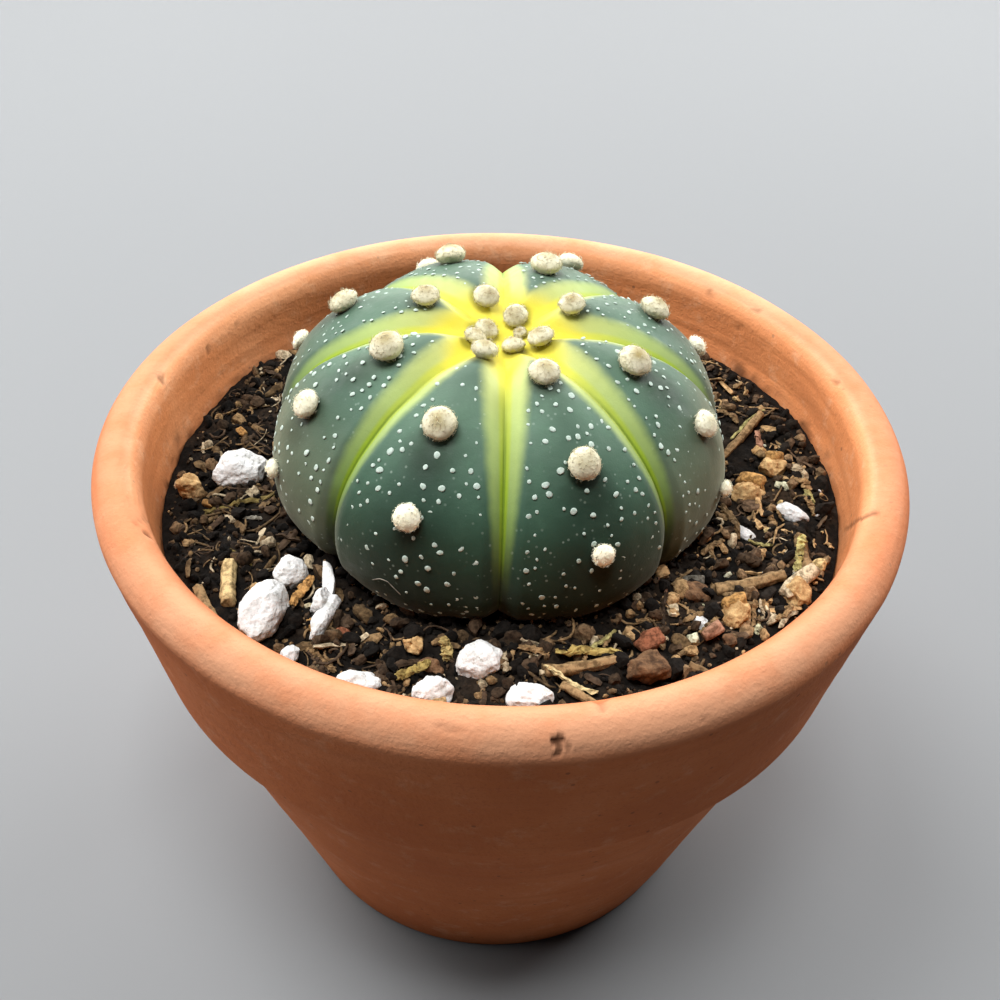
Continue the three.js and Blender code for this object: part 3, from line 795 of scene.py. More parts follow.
def areole_size(n, arc):
    """Share of the full size: small at the crown, full further down, worn at the bottom"""
    grown = AREOLE_RING_SIZE + (1 - AREOLE_RING_SIZE) * smoothstep(arc, 7.5, 12)
    return AREOLE_CROWN_SIZES[n] if n < 0 else grown - AREOLE_WEAR * n * n


AREOLES = areole_places()
# Painted light for each rib: how much paler its lower flank is
RIB_PAINTED_LIGHT = np.array([0.35, 0.15, 0.15, 0.35, 0.6, 0, 0, 0.68])


def painted_shadow_below_areoles(points):
    """Painted shadow: how near each point is to the skin below a button, dark close to it and lighter
    further down the rib
    """
    near = np.zeros(len(points))
    for n, arc, azimuth in AREOLES:
        radius = AREOLE_DIAMETER / 2 * areole_size(n, arc)
        shade = 0.8 * smoothstep(arc, 8, 12)
        for down, reach, core, share in ((0.42, 1.42, 0.85, 1), (1.8, 2.3, 0.4, shade)):
            middle = skin_points(arc + down * radius, azimuth)
            off = np.linalg.norm(points - middle, axis=1) / radius
            near = np.maximum(near, share * smoothstep(off, reach, core))
    return near


def make_skin():
    near = np.linspace(0, 1, FURROW_COLUMNS + 1)[:-1] ** 1.3 * FURROW_SHARE
    middle = np.linspace(FURROW_SHARE, 1 - FURROW_SHARE, RIB_COLUMNS)
    shares = np.concatenate([near, middle, 1 - near[:0:-1]])
    azimuths = (RIB_TWIST + RIB_ANGLE * (np.arange(RIB_COUNT)[:, None] + shares[None])).ravel()
    arcs = MERIDIAN_LENGTH * (1 - np.arange(1, SKIN_ROWS + 1) / (SKIN_ROWS + 1))
    arc, azimuth = [grid.ravel() for grid in np.meshgrid(arcs, azimuths, indexing="ij")]
    arc, azimuth = np.append(arc, [MERIDIAN_LENGTH, 0]), np.append(azimuth, [0, 0])
    points = skin_points(arc, azimuth)
    relief = 0.16 * layered_noise(points, 7, 21, 2) + 0.03 * layered_noise(points, 1.4, 25, 2)
    relief[-2:] = 0
    points += skin_normals(arc, azimuth) * (relief * smoothstep(arc, 3, 9))[:, None]
    faces = closed_faces(SKIN_ROWS, len(azimuths))
    rib = np.floor((azimuth - RIB_TWIST) / RIB_ANGLE).astype(int) % RIB_COUNT
    add_mesh("cactus_body", points, faces, SKIN, "cactus_skin", ["cactus"], arc=arc,
             bloom=RIB_PAINTED_LIGHT[rib] * smoothstep(arc, 17, 25) * smoothstep(arc, 36, 30),
             furrow=furrow_distance(meridian_at(arc)[0], azimuth),
             level=points[:, 2] - SOIL_LEVEL,
             foot=painted_shadow_below_areoles(points))
    return BVHTree.FromPolygons(points.tolist(), faces)


def make_areoles():
    """Felted buttons, with short wool lying over them"""
    base_points, base_faces = ball(4)
    random = default_rng(5)
    buttons, wool = Heap(), Heap()
    for n, arc, azimuth in AREOLES:
        age = areole_size(n, arc)
        radius = AREOLE_DIAMETER / 2 * age
        up = skin_normals(arc, azimuth)
        turn = rotations_to(up[None], np.array([n * 2.4]))[0]
        centre = skin_points(arc, azimuth) + up * AREOLE_STAND * (0.4 + 0.6 * age)
        shape = base_points.copy()
        shape[:, 2] = np.sign(shape[:, 2]) * np.abs(shape[:, 2]) ** 1.15
        lumps = 0.06 * layered_noise(shape * radius + n * 7, 1.3, 60, 2)
        tufts = 0.03 * (0.5 - grain_distance(shape * radius + n * 5, 0.3, 70 + n))
        shape *= (1 + lumps + tufts)[:, None]
        shape[:, 2] *= AREOLE_SQUASH
        colour_share = np.clip(1 - (arc - 18) / 8, 0.05, 1)
        worn = colour_share * (0.45 + 0.55 * smoothstep(shape[:, 2], 0.35, 0.85))
        worn = np.clip(worn + 0.15 * smooth_noise(shape * radius + n, 0.8, 90), 0, 1)
        buttons.add(shape * radius @ turn.T + centre, base_faces, worn[:, None])
        hairs, hair_faces = make_hairs(random, shape, radius)
        wool.add(hairs @ turn.T + centre, hair_faces, [colour_share * 0.6])
    buttons.finish("areoles", WOOL, "cactus_skin", "worn")
    wool.finish("areole_wool", WOOL, "cactus_skin", "worn")


def make_hairs(random, shape, radius):
    """Thin three-sided hairs that lean over a button's surface"""
    picked = random.choice(np.flatnonzero(shape[:, 2] > -0.45), WOOL_HAIRS, replace=False)
    root = shape[picked] * radius
    out = unit(root)
    side = random.normal(size=out.shape)
    side = unit(side - (side * out).sum(1, keepdims=True) * out)
    across = np.cross(out, side)
    length = random.uniform(0.25, 0.6, (WOOL_HAIRS, 1)) * min(1, radius / 1.4)
    thickness = random.uniform(0.014, 0.026, (WOOL_HAIRS, 1))
    rings = []
    for share, lift, width in ((0, -0.02, 1), (0.5, 0.1, 0.9), (1, 0.14, 0.35)):
        middle = root + side * length * share + out * (lift - 0.5 * (length * share) ** 2 / radius)
        for angle in np.arange(3) * TAU / 3:
            rings.append(middle + thickness * width * (math.cos(angle) * across + math.sin(angle) * out))
    faces = np.concatenate([halved(ring_faces(3, 3)), [[2, 1, 0], [6, 7, 8]]])
    return np.stack(rings, 1).reshape(-1, 3), copied_faces(faces, WOOL_HAIRS, 9)


def make_flecks():
    """Small white felt flecks, in loose rows beside the furrows and scattered over each rib"""
    random = default_rng(17)
    flecks = []
    for rib in range(RIB_COUNT):
        placed = []
        for _ in range(FLECK_TRIES):
            if len(placed) == FLECKS_PER_RIB:
                break
            arc = random.uniform(7.5, 38)
            radius = float(meridian_at(arc)[0])
            half = radius * RIB_ANGLE / 2
            if random.random() > radius / CACTUS_RADIUS:
                continue
            beside = random.random() < 0.42
            away = 2.0 + abs(random.normal(0, 0.8)) if beside else random.uniform(1.9, max(half, 2))
            if away > half:
                continue
            across = random.choice([-1, 1]) * (half - away)
            if any((arc - a) ** 2 + (across - b) ** 2 < FLECK_SPACING ** 2 for a, b in placed):
                continue
            placed.append((arc, across))
            size = random.choice([0.15, 0.19, 0.24, 0.3], p=[0.3, 0.35, 0.25, 0.1])
            flecks.append((arc, RIB_TWIST + RIB_ANGLE * (rib + 0.5) + across / radius, size))
    arcs, azimuths, sizes = np.array(flecks).T
    template, faces = ball(2)
    random = default_rng(19)
    turns = rotations_to(skin_normals(arcs, azimuths), random.uniform(0, TAU, len(arcs)))
    shape = np.stack([sizes * random.uniform(0.85, 1.35, len(arcs)), sizes, sizes * 0.22], 1)
    points = copies(template, turns, shape, skin_points(arcs, azimuths, 0.02))
    points += 0.05 * np.stack([smooth_noise(points, 0.25, 100 + axis) for axis in range(3)], 1)
    add_mesh("flecks", points, copied_faces(faces, len(arcs), len(template)), FLECK, "cactus_skin")


# Soil
def soil_wave(x, y):
    return SOIL_LEVEL + SOIL_WAVE * (np.sin(0.21 * x + 0.5) + np.sin(0.17 * y + 0.11 * x + 2)) / 2


def soil_height(x, y):
    """The soil's top: the settled wave, clods, crumbs and crumbs between crumbs"""
    flat = np.stack([x, y], -1).reshape(-1, 2)
    clods = 0.55 * layered_noise(flat, 5, 200, 2)
    crumbs = 0.75 * (0.6 - grain_distance(flat, 2.3, 210)) + 0.4 * (0.5 - grain_distance(flat, 1.1, 220))
    fine = 0.2 * (0.5 - grain_distance(flat, 0.5, 230))
    edge = smoothstep(np.hypot(flat[:, 0], flat[:, 1]), 33, 35.6)
    return soil_wave(flat[:, 0], flat[:, 1]) + (clods + crumbs + fine) * (1 - 0.5 * edge) - 0.4 * edge


def cactus_underside(x, y):
    """Level of the underside of the cactus over a point of the soil, and of its root in the middle"""
    reach = from_cactus(x, y)
    share = np.clip(reach / CACTUS_RADIUS, 0, 1)
    body = CACTUS_PLACE[2] - CACTUS_DROP * (1 - share ** CACTUS_ROUNDNESS) ** (1 / CACTUS_ROUNDNESS)
    root = CACTUS_PLACE[2] - CACTUS_DROP - TAPROOT_LENGTH
    level = np.where(reach < TAPROOT_RADIUS + 0.7, root, body)
    return np.where(reach < CACTUS_RADIUS, level - 0.6, 1e3)


def from_cactus(x, y):
    return np.hypot(x - CACTUS_PLACE[0], y - CACTUS_PLACE[1])


def make_soil():
    edge = pot_inner_radius(SOIL_LEVEL) - SOIL_GAP
    radii = np.concatenate([np.linspace(edge, 20.2, 66), np.linspace(19.5, 0.8, 16)])
    turn = np.arange(SOIL_SIDES) * TAU / SOIL_SIDES
    top = polar(radii[:, None], turn, 0.0).reshape(-1, 3)
    x, y = top[:, 0], top[:, 1]
    top[:, 2] = np.minimum(soil_height(x, y), cactus_underside(x, y))
    base, corner, hidden = FLOOR_THICKNESS + SOIL_GAP, FLOOR_THICKNESS + FLOOR_CORNER, SOIL_LEVEL - 4
    wall = [polar(pot_inner_radius(FLOOR_THICKNESS) - FLOOR_CORNER, turn, base),
            *(polar(pot_inner_radius(level) - SOIL_GAP, turn, level) for level in (corner, hidden))]
    points = np.concatenate([*wall, top, [[0, 0, base], [0, 0, top[-1, 2]]]])
    faces = closed_faces(len(wall) + len(radii), SOIL_SIDES)
    # Near-black peat, browner on the rises: the peat's own tone, and painted shade in the hollows between
    # crumbs
    rise = points[:, 2] - soil_wave(points[:, 0], points[:, 1])
    share = np.clip(0.05 + 0.3 * layered_noise(points, 2.5, 240, 3) + 0.3 * rise, 0, 1)[:, None]
    tint = DARK_PEAT * (1 - share) + BROWN_PEAT * share
    add_mesh("soil_bed", points, faces, SOIL, "soil", ["soil"], tint=tint)
    return BVHTree.FromPolygons(points.tolist(), faces)


def ring_places(random, count, inner, outer):
    """Random places on the soil between the cactus and the pot's wall"""
    reach = np.sqrt(random.uniform(inner ** 2, outer ** 2, count))
    turn = random.uniform(0, TAU, count)
    return reach * np.cos(turn), reach * np.sin(turn)


LOOSE = sorted(n for n in frame["nodes"] if n.split("_")[0] in ("perlite", "grit", "bark", "stick", "straw"))
LOOSE_BOXES = {node: [np.array(corner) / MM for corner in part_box(node)] for node in LOOSE}


def clear_of_loose(x, y, margin):
    """True where a point of the soil isn't under one of the loose pieces"""
    free = np.ones(len(x), bool)
    for low, high in LOOSE_BOXES.values():
        middle, half = (low + high) / 2, (high - low) / 2 + margin
        free &= ((x - middle[0]) / half[0]) ** 2 + ((y - middle[1]) / half[1]) ** 2 > 1
    return free


def lies_clear(path, inner, outer):
    """True where a path keeps off the cactus, the pot's wall and the loose pieces"""
    x, y = path[:, 0], path[:, 1]
    between = np.hypot(x, y).max() <= outer and from_cactus(x, y).min() >= inner
    return between and clear_of_loose(x, y, 0.1).all()


def dryness(x):
    """How much paler the litter is towards the right, where it's driest"""
    return 1 + 0.9 * smoothstep(x, 10, 27)


def crumb_tints(random, count):
    kinds = random.choice(5, count, p=[0.53, 0.2, 0.14, 0.09, 0.04])
    palette = np.array([DARK_PEAT * 1.2, BROWN_PEAT, [0.15, 0.095, 0.05], TAN * 1.1, CREAM * 0.9])
    return palette[kinds] * random.uniform(0.6, 1.35, (count, 1))


def make_crumbs(name, random, count, small, large, subdivisions):
    """Angular crumbs in a few shapes"""
    x, y = ring_places(random, count, 20.6, 35)
    free = clear_of_loose(x, y, -0.2)
    x, y = x[free], y[free]
    size = small + (large - small) * random.uniform(0, 1, len(x)) ** 1.6
    keep_in = np.minimum(1, (35.3 - size) / np.hypot(x, y))
    x, y = x * keep_in, y * keep_in
    heap = Heap()
    for kind in range(CRUMB_KINDS):
        template, faces = ball(subdivisions)
        template = cut_flat(random, template, 9)
        template = template * (1 + 0.3 * smooth_noise(template + kind * 7.3, 0.7, 250 + kind))[:, None]
        own = np.arange(len(x)) % CRUMB_KINDS == kind
        each = int(own.sum())
        shape = size[own][:, None] * random.uniform(0.55, 1.2, (each, 3))
        z = soil_height(x[own], y[own]) + random.uniform(0.1, 0.6, each) * size[own]
        turns = rotations_to(random.normal(size=(each, 3)), random.uniform(0, TAU, each))
        points = copies(template, turns, shape, np.stack([x[own], y[own], z], 1))
        tints = np.minimum(crumb_tints(random, each) * dryness(x[own])[:, None], 0.7)
        heap.add(points, copied_faces(faces, each, len(template)), np.repeat(tints, len(template), 0))
    heap.finish(name, CRUMB, "soil", smooth=False)


def strand(path, widths, thickness, sides, tilt=0):
    """A closed strand along a path: wide across the soil, thin upwards where thickness is under 1"""
    path = np.asarray(path, float)
    ahead = unit(np.gradient(path, axis=0))
    across = unit(np.cross(ahead, [0, 0, 1.0]))
    up = np.cross(across, ahead)
    across, up = across * math.cos(tilt) + up * math.sin(tilt), up * math.cos(tilt) - across * math.sin(tilt)
    turn = np.arange(sides)[:, None] * TAU / sides
    half = np.asarray(widths)[:, None, None] / 2
    rings = path[:, None] + half * (np.cos(turn) * across[:, None] + thickness * np.sin(turn) * up[:, None])
    faces = np.concatenate([halved(ring_faces(len(path), sides)), end_fans(len(path), sides)])
    return np.concatenate([rings.reshape(-1, 3), path[[0, -1]]]), faces


def make_fibres():
    """Thin roots and peat fibres lying over the soil"""
    random = default_rng(29)
    heap = Heap()
    for x, y in zip(*ring_places(random, FIBRES, 22.5, 34.4)):
        length = random.uniform(1.2, 5)
        heading = random.uniform(0, TAU)
        bend = random.normal(0, 0.35)
        path = []
        for _ in range(7):
            path.append([x, y, 0])
            heading += bend + random.normal(0, 0.15)
            x += math.cos(heading) * length / 6
            y += math.sin(heading) * length / 6
        path = np.array(path)
        if not lies_clear(path, 22.3, 35):
            continue
        path[:, 2] = soil_height(path[:, 0], path[:, 1]) + random.uniform(0.1, 0.5)
        path[:, 2] = np.convolve(np.pad(path[:, 2], 1, mode="edge"), [0.25, 0.5, 0.25], "valid")
        widths = random.uniform(0.1, 0.34) * np.array([0.6, 1, 1, 0.95, 0.9, 0.8, 0.4])
        kind = random.choice(4, p=[0.3, 0.3, 0.14, 0.26])
        tint = [TAN * 0.4, TAN * 0.8, CREAM * 0.7, BROWN_PEAT * 1.3][kind]
        heap.add(*strand(path, widths, 0.7, 5), tint * dryness(path[0, 0]))
    heap.finish("peat_fibres", WOOD, "soil")


def make_chips():
    """Small flat chips of wood and bark, lying at all angles"""
    random = default_rng(37)
    heap = Heap()
    for x, y in zip(*ring_places(random, CHIPS, 23, 34)):
        length = random.uniform(0.9, 3.2)
        heading = random.uniform(0, TAU)
        ahead = np.array([math.cos(heading), math.sin(heading), random.normal(0, 0.22)])
        path = [x, y, 0] + np.linspace(-0.5, 0.5, 5)[:, None] * length * ahead
        if not lies_clear(path, 22.4, 34.8):
            continue
        path[:, 2] += soil_height(x, y) + 0.3
        path += random.normal(0, 0.06, path.shape)
        widths = random.uniform(0.4, 1.2) * random.uniform(0.7, 1.1, 5) * [0.7, 1, 1, 1, 0.6]
        kind = random.choice(4, p=[0.46, 0.24, 0.2, 0.1])
        tint = [BROWN_PEAT * 1.2, TAN * 0.5, TAN * 1.1, CREAM * 0.8][kind]
        heap.add(*strand(path, widths, random.uniform(0.3, 0.55), 6, random.normal(0, 0.5)),
                 np.minimum(tint * dryness(x), 0.7))
    heap.finish("wood_chips", WOOD, "soil", smooth=False)


# Litter that shows, from one pixel to another: its width and the rise of its two ends in millimetres
Bit = namedtuple("Bit", "tint start end width rises", defaults=[(0, 0)])
SPLINTERS = [
    Bit(OLIVE * 0.6, (206, 514), (279, 493), 0.9),
    Bit(CREAM, (217, 523), (232, 516), 0.7),
    Bit(GREY, (230, 516), (262, 520), 0.5),
    Bit(ORANGE * 1.1, (291, 607), (311, 578), 0.95, (0.2, 1.4)),
    Bit(OLIVE * 0.7, (222, 547), (252, 566), 0.5),
    Bit(TAN * 0.7, (240, 566), (262, 562), 0.5),
    Bit(OLIVE * 1.2, (394, 680), (431, 664), 0.85, (0.1, 0.6)),
    Bit(TAN * 0.9, (306, 650), (322, 660), 0.7),
    Bit(TAN * 0.8, (321, 659), (335, 673), 0.6),
    Bit(STRAW * [0.7, 0.6, 0.6], (447, 662), (444, 640), 1.1, (0, 1.2)),
    Bit(BROWN_PEAT * 1.4, (381, 662), (384, 684), 0.9),
    Bit(OLIVE * 1.3, (556, 652), (622, 656), 0.75, (0.3, 0.3)),
    Bit(STRAW * 0.55, (590, 650), (615, 631), 0.45, (0.5, 1.2)),
    Bit(TAN, (604, 648), (610, 636), 0.4, (0.5, 1.0)),
    Bit(STRAW * [1, 0.9, 1.2], (545, 667), (597, 694), 0.65, (0.5, 0.3)),
    Bit(CREAM * 0.7, (504, 655), (509, 672), 0.7, (0.3, 0.6)),
    Bit(PINK * 0.8, (654, 575), (666, 594), 0.45, (1.6, 0.8)),
    Bit(BROWN_PEAT * 0.8, (666, 594), (664, 628), 0.5, (0.8, 0)),
    Bit(STRAW * 0.9, (802, 537), (797, 572), 0.9, (1.6, 0)),
    Bit(STRAW * 0.6, (748, 541), (772, 546), 0.5, (0.3, 0.2)),
    Bit(TAN, (752, 590), (751, 634), 0.55, (0.6, 0)),
    Bit(TAN * 0.9, (768, 592), (758, 626), 0.45, (0.5, 0)),
    Bit(CREAM * 0.8, (760, 600), (763, 622), 0.3, (0.4, 0.1)),
    Bit(TAN * 0.9, (724, 541), (702, 556), 0.6, (0.5, 0.2)),
    Bit(TAN * 0.8, (711, 546), (716, 566), 0.5, (0.4, 0.1)),
    Bit(PINK, (757, 433), (760, 450), 0.8, (1.0, 0)),
    Bit(STRAW * 0.6, (731, 440), (764, 411), 0.45, (0.4, 0.8)),
    Bit(TAN * 0.8, (724, 412), (737, 424), 0.55, (0.6, 0.3)),
    Bit(CREAM * 0.9, (794, 467), (806, 482), 1.0, (0.6, 0.3)),
    Bit(TAN * 1.3, (790, 480), (808, 492), 0.9, (0.5, 0.2)),
    Bit(STRAW * 0.7, (805, 482), (812, 504), 0.9, (0.4, 0.1)),
    Bit(TAN * 1.2, (806, 498), (815, 516), 0.7, (0.4, 0.1)),
    Bit(TAN * 1.2, (768, 512), (776, 528), 0.6, (0.3, 0.1)),
    Bit(TAN, (776, 508), (783, 522), 0.4, (0.3, 0.1)),
    Bit(TAN * 1.2, (775, 621), (792, 606), 0.6, (0.4, 0.2)),
    Bit(CREAM * 0.8, (779, 628), (797, 612), 0.5, (0.4, 0.2)),
    Bit(TAN * 1.1, (700, 634), (717, 618), 0.5, (0.5, 0.3)),
    Bit(TAN * 0.9, (684, 622), (706, 612), 0.6, (0.4, 0.2)),
    Bit(TAN * 1.2, (636, 622), (662, 616), 0.5, (0.4, 0.2)),
    Bit(CREAM * 0.7, (645, 632), (668, 640), 0.4, (0.4, 0.3)),
    Bit(TAN, (575, 668), (588, 650), 0.5, (0.4, 0.3)),
    Bit(TAN * 1.1, (519, 648), (549, 655), 0.6, (0.4, 0.2)),
    Bit(TAN * 0.7, (722, 505), (738, 540), 0.6, (0.4, 0.1)),
    Bit(OLIVE, (640, 668), (668, 672), 0.7),
    Bit(BROWN_PEAT, (470, 645), (545, 641), 0.5),
    Bit(TAN * 0.6, (214, 455), (232, 446), 0.5),
]
LUMPS = [
    Bit(ORANGE, (238, 431), (247, 437), 0.9),
    Bit(TAN * 0.7, (252, 428), (264, 434), 0.7),
    Bit(TAN * 0.6, (386, 619), (398, 625), 1.2),
    Bit(RED_BARK * 2, (337, 634), (352, 640), 1.2),
    Bit(TAN * 0.4, (355, 612), (372, 622), 1.4),
    Bit(ORANGE * 0.8, (310, 622), (322, 650), 0.8),
    Bit(BROWN_PEAT * 1.2, (520, 672), (538, 664), 1.2),
    Bit(PINK * 0.7, (628, 672), (650, 668), 1.3),
    Bit(RED_BARK * 1.8, (636, 650), (660, 640), 2.0),
    Bit(GREY * 0.6, (683, 588), (703, 584), 1.6),
    Bit(ORANGE * 1.1, (724, 612), (745, 602), 1.7, (0.3, 0.5)),
    Bit(PINK, (703, 640), (722, 628), 1.5, (0.2, 0.3)),
    Bit(ORANGE * 1.15, (737, 482), (764, 489), 1.9, (0.3, 0.3)),
    Bit(ORANGE * 0.95, (765, 463), (782, 462), 1.8, (0.4, 0.4)),
    Bit(TAN * 0.9, (757, 455), (764, 458), 0.9, (0.4, 0.4)),
    Bit(CREAM * 1.05, (784, 597), (812, 574), 1.7, (0.2, 0.5)),
    Bit(CREAM * 0.9, (768, 626), (777, 618), 0.9),
    Bit(TAN * 0.5, (672, 640), (690, 650), 1.2),
    Bit(BROWN_PEAT, (737, 560), (760, 566), 1.3),
    Bit(ORANGE * 0.6, (204, 503), (214, 507), 0.9),
]
WHITE_BITS = [
    Bit(CREAM, (815, 510), (819, 518), 0.8),
    Bit(CREAM, (328, 566), (331, 604), 1.25, (0.9, 0.2)),
    Bit(CREAM, (338, 605), (312, 640), 1.9, (0.1, 0)),
]
SPLINTER_STEPS = 16
SPLINTER_SIDES = 9
LUMP_CUTS = 11
LUMP_BLUNTNESS = 0.72
LUMP_END = 0.72


def on_soil(pixel, rise):
    """The point of the soil that a pixel of the photograph shows, raised along the line of sight"""
    ray = np.array(pixel_direction(pixel))
    return seen_at(SOIL_TREE, pixel)[0] + ray * rise / ray[2]


def splinter(random, start, end, width):
    """A ragged sliver from one point to another"""
    share = np.linspace(0, 1, SPLINTER_STEPS)
    middle = np.sin(np.pi * share)
    path = start + share[:, None] * (end - start) + [0, 0, 0.3 * width]
    sway = np.cumsum(random.normal(0, 0.02 * np.linalg.norm(end - start), (SPLINTER_STEPS, 3)), 0)
    path += sway * middle[:, None]
    widths = width * (0.55 + 0.45 * middle ** 0.4) * random.uniform(0.84, 1.12, SPLINTER_STEPS)
    points, faces = strand(path, widths, random.uniform(0.4, 0.65), SPLINTER_SIDES, random.normal(0, 0.4))
    return points + 0.1 * width * random.normal(size=points.shape), faces


def lump(random, start, end, width):
    """An angular lump that reaches from one point to another"""
    points, faces = ball(3)
    points = np.sign(points) * np.abs(points) ** LUMP_BLUNTNESS
    points = cut_flat(random, points, LUMP_CUTS, 1, 0.6)
    points[:, 2] = np.clip(points[:, 2] / LUMP_END, -1, 1)
    points = points * (1 + 0.14 * layered_noise(points, 0.6, int(random.integers(900)), 2))[:, None]
    along = end - start
    half = max(np.linalg.norm(along), width) / 2
    turn = rotations_to(along[None], random.uniform(0, TAU, 1))[0]
    middle = (start + end) / 2 + [0, 0, 0.3 * width]
    return (points * [width / 2, width / 2, half]) @ turn.T + middle, faces


def make_litter():
    """Splinters, lumps and white chips, each where the photograph shows it"""
    random = default_rng(43)
    for name, bits, shape, material, slot in (("splinters", SPLINTERS, splinter, WOOD, "stick"),
                                              ("lumps", LUMPS, lump, COIR, "bark"),
                                              ("white_chips", WHITE_BITS, lump, PERLITE, "perlite")):
        heap = Heap()
        for bit in bits:
            start, end = on_soil(bit.start, bit.rises[0]), on_soil(bit.end, bit.rises[1])
            heap.add(*shape(random, start, end, bit.width), bit.tint)
        heap.finish(name, material, slot, smooth=shape is lump)


THREAD = [(373, 579), (381, 578), (388, 581), (394, 587), (401, 594)]
THREAD_WIDTH = 0.11


def make_thread():
    """A stray fibre on the skin near the soil"""
    seen = [seen_at(SKIN_TREE, pixel) for pixel in THREAD]
    path = np.array([place + 0.1 * normal for place, normal in seen])
    share = np.linspace(0, len(path) - 1, 3 * len(path))
    path = np.stack([np.interp(share, np.arange(len(path)), column) for column in path.T], 1)
    heap = Heap()
    heap.add(*strand(path, np.full(len(path), THREAD_WIDTH), 0.8, 5), GREY)
    heap.finish("thread", WOOD, "straw")


# Loose pieces, refined with reliefs that each have a form, a size and a depth
def bumpy(points, size, seed):
    return layered_noise(points, size, seed + 7, 2)


def pitted(points, size, seed):
    return -smoothstep(grain_distance(points, size, seed), 0.42, 0.1)


def faceted(points, size, seed):
    return 1 - 2 * grain_distance(points, size, seed + 3)


Finish = namedtuple("Finish", "material reliefs shallow deep tint", defaults=[0.95, 0.62, None])
FINISHES = {
    "perlite": Finish(PERLITE, [(bumpy, 1.2, 0.19), (bumpy, 0.5, 0.08), (pitted, 0.8, 0.12)], 0.98, 0.78),
    "grit": Finish(GRIT, [(bumpy, 1.1, 0.22), (bumpy, 0.5, 0.12), (pitted, 0.8, 0.16)]),
    "bark": Finish(BARK, [(faceted, 1.3, 0.2), (bumpy, 0.6, 0.12)]),
    "stick": Finish(WOOD, [(bumpy, 0.9, 0.1), (bumpy, 0.4, 0.05)], tint=TAN * 1.1),
    "straw": Finish(WOOD, [(bumpy, 0.9, 0.1), (bumpy, 0.4, 0.05)], tint=CREAM * [1.05, 0.95, 0.7]),
}
FULLNESS = 1.08
CHIP_CUTS = 12
FEW_FACES = 40


def refine(node):
    """Replaces a loose CAD piece by a finer one of the same size: cut finer, smoothed, then roughened"""
    kind = node.split("_")[0]
    finish = FINISHES[kind]
    angular = finish.tint is None
    solid = frame["nodes"][node].data
    levels = 2
    if angular:
        levels = 4 if len(solid.polygons) < FEW_FACES else 3
    axes = {f"use_axis_{axis}": True for axis in "xyz"}
    shape = bmesh.new()
    shape.from_mesh(solid)
    bmesh.ops.remove_doubles(shape, verts=shape.verts, dist=1e-6)
    for _ in range(levels):
        bmesh.ops.subdivide_edges(shape, edges=shape.edges, cuts=1, use_grid_fill=True)
        if angular:
            bmesh.ops.smooth_vert(shape, verts=shape.verts, factor=0.5, **axes)
    bmesh.ops.triangulate(shape, faces=shape.faces)
    shape.normal_update()
    points, normals, faces = taken_apart(shape)
    points /= MM
    seed = sum(map(ord, node))
    if angular:
        middle, half = (points.min(0) + points.max(0)) / 2, (points.max(0) - points.min(0)) / 2
        random = default_rng(seed)
        points = cut_flat(random, (points - middle) / half, CHIP_CUTS, finish.shallow, finish.deep)
    low, high = LOOSE_BOXES[node]
    now_low, now_high = points.min(0), points.max(0)
    points = (points - (now_low + now_high) / 2) * (high - low) / (now_high - now_low) * FULLNESS
    points += (low + high) / 2
    for form, size, depth in finish.reliefs:
        points = points + normals * (depth * form(points, size, seed))[:, None]
    tint = {} if angular else {"tint": np.tile(finish.tint, (len(points), 1))}
    add_mesh(f"{node}_fine", points, faces, finish.material, kind, [node], **tint)


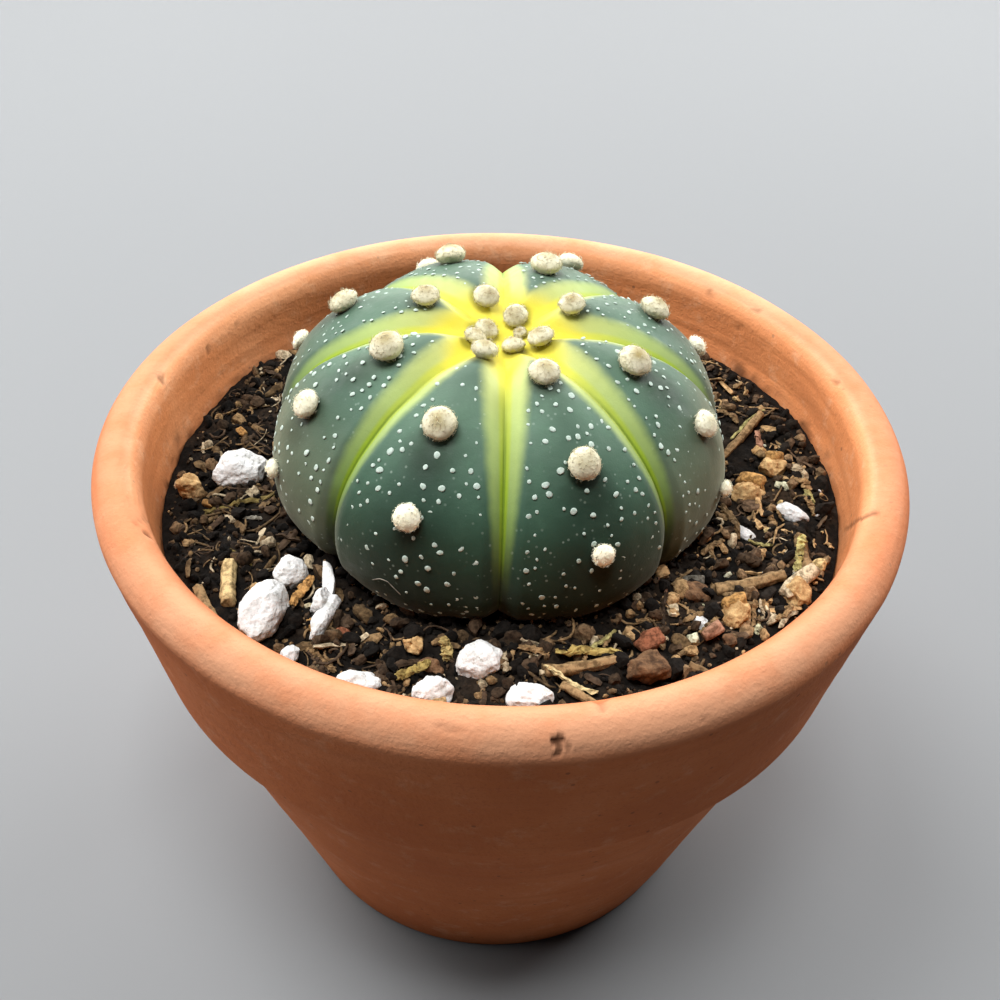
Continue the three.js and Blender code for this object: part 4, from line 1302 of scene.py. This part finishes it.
# Stage, light and camera
def make_floor():
    mesh = bpy.data.meshes.new("floor")
    half, below = 2.0, -0.00003
    corners = [(-half, -half, below), (half, -half, below), (half, half, below), (-half, half, below)]
    mesh.from_pydata(corners, [], [(0, 1, 2, 3)])
    look = Look("floor", Roughness=0.7, Specular_IOR_Level=0.2)
    look.base = (0.2, 0.207, 0.212, 1)
    mesh.materials.append(look.finish())
    floor = add_object("floor", mesh)


def add_light(name, place, target, width, depth, power):
    data = bpy.data.lights.new(name, "AREA")
    data.shape = "RECTANGLE"
    data.size = width
    data.size_y = depth
    data.energy = power
    light = add_object(name, data)
    light.location = place
    light.rotation_euler = (Vector(target) - Vector(place)).to_track_quat("-Z", "Y").to_euler()


def make_lights():
    above_pot = (0, 0, 0.05)
    add_light("left_window", (-0.383, 0.299, 0.308), above_pot, 0.32, 0.32, 2.3)
    add_light("right_window", (0.383, 0.299, 0.308), above_pot, 0.32, 0.32, 3.1)
    add_light("left_side", (-0.476, 0, 0.325), above_pot, 0.35, 0.35, 1.2)
    add_light("left_ceiling", (-0.188, 0, 0.567), above_pot, 0.2, 0.2, 2.1)
    add_light("front_ceiling", (0, -0.086, 0.593), above_pot, 0.14, 0.14, 2)
    add_light("back_wall", (0, 0.75, 0.3), (0, 0.3, 0), 0.8, 0.3, 6)
    world = bpy.data.worlds.new("room")
    world.use_nodes = True
    background = world.node_tree.nodes["Background"].inputs
    background["Color"].default_value = (0.95, 0.98, 1, 1)
    background["Strength"].default_value = 0.02
    bpy.context.scene.world = world


def make_camera():
    data = bpy.data.cameras.new("camera")
    data.sensor_width = SENSOR
    data.lens = SENSOR * FOCAL_PIXELS / FRAME_PIXELS
    data.clip_start = 0.005
    camera = add_object("camera", data)
    camera.location = CAMERA_PLACE
    camera.rotation_euler = CAMERA_TURN.to_euler()
    bpy.context.scene.camera = camera


make_camera()
make_floor()
make_lights()
make_pot()
SKIN_TREE = make_skin()
make_taproot()
make_areoles()
make_flecks()
SOIL_TREE = make_soil()
crumb_random = default_rng(23)
make_crumbs("crumbs_1", crumb_random, 1150, 0.4, 1.05, 2)
make_crumbs("crumbs_2", crumb_random, 4200, 0.18, 0.45, 1)
make_fibres()
make_chips()
make_litter()
make_thread()
for loose_node in LOOSE:
    refine(loose_node)

bpy.context.scene.view_settings.view_transform = "Standard"
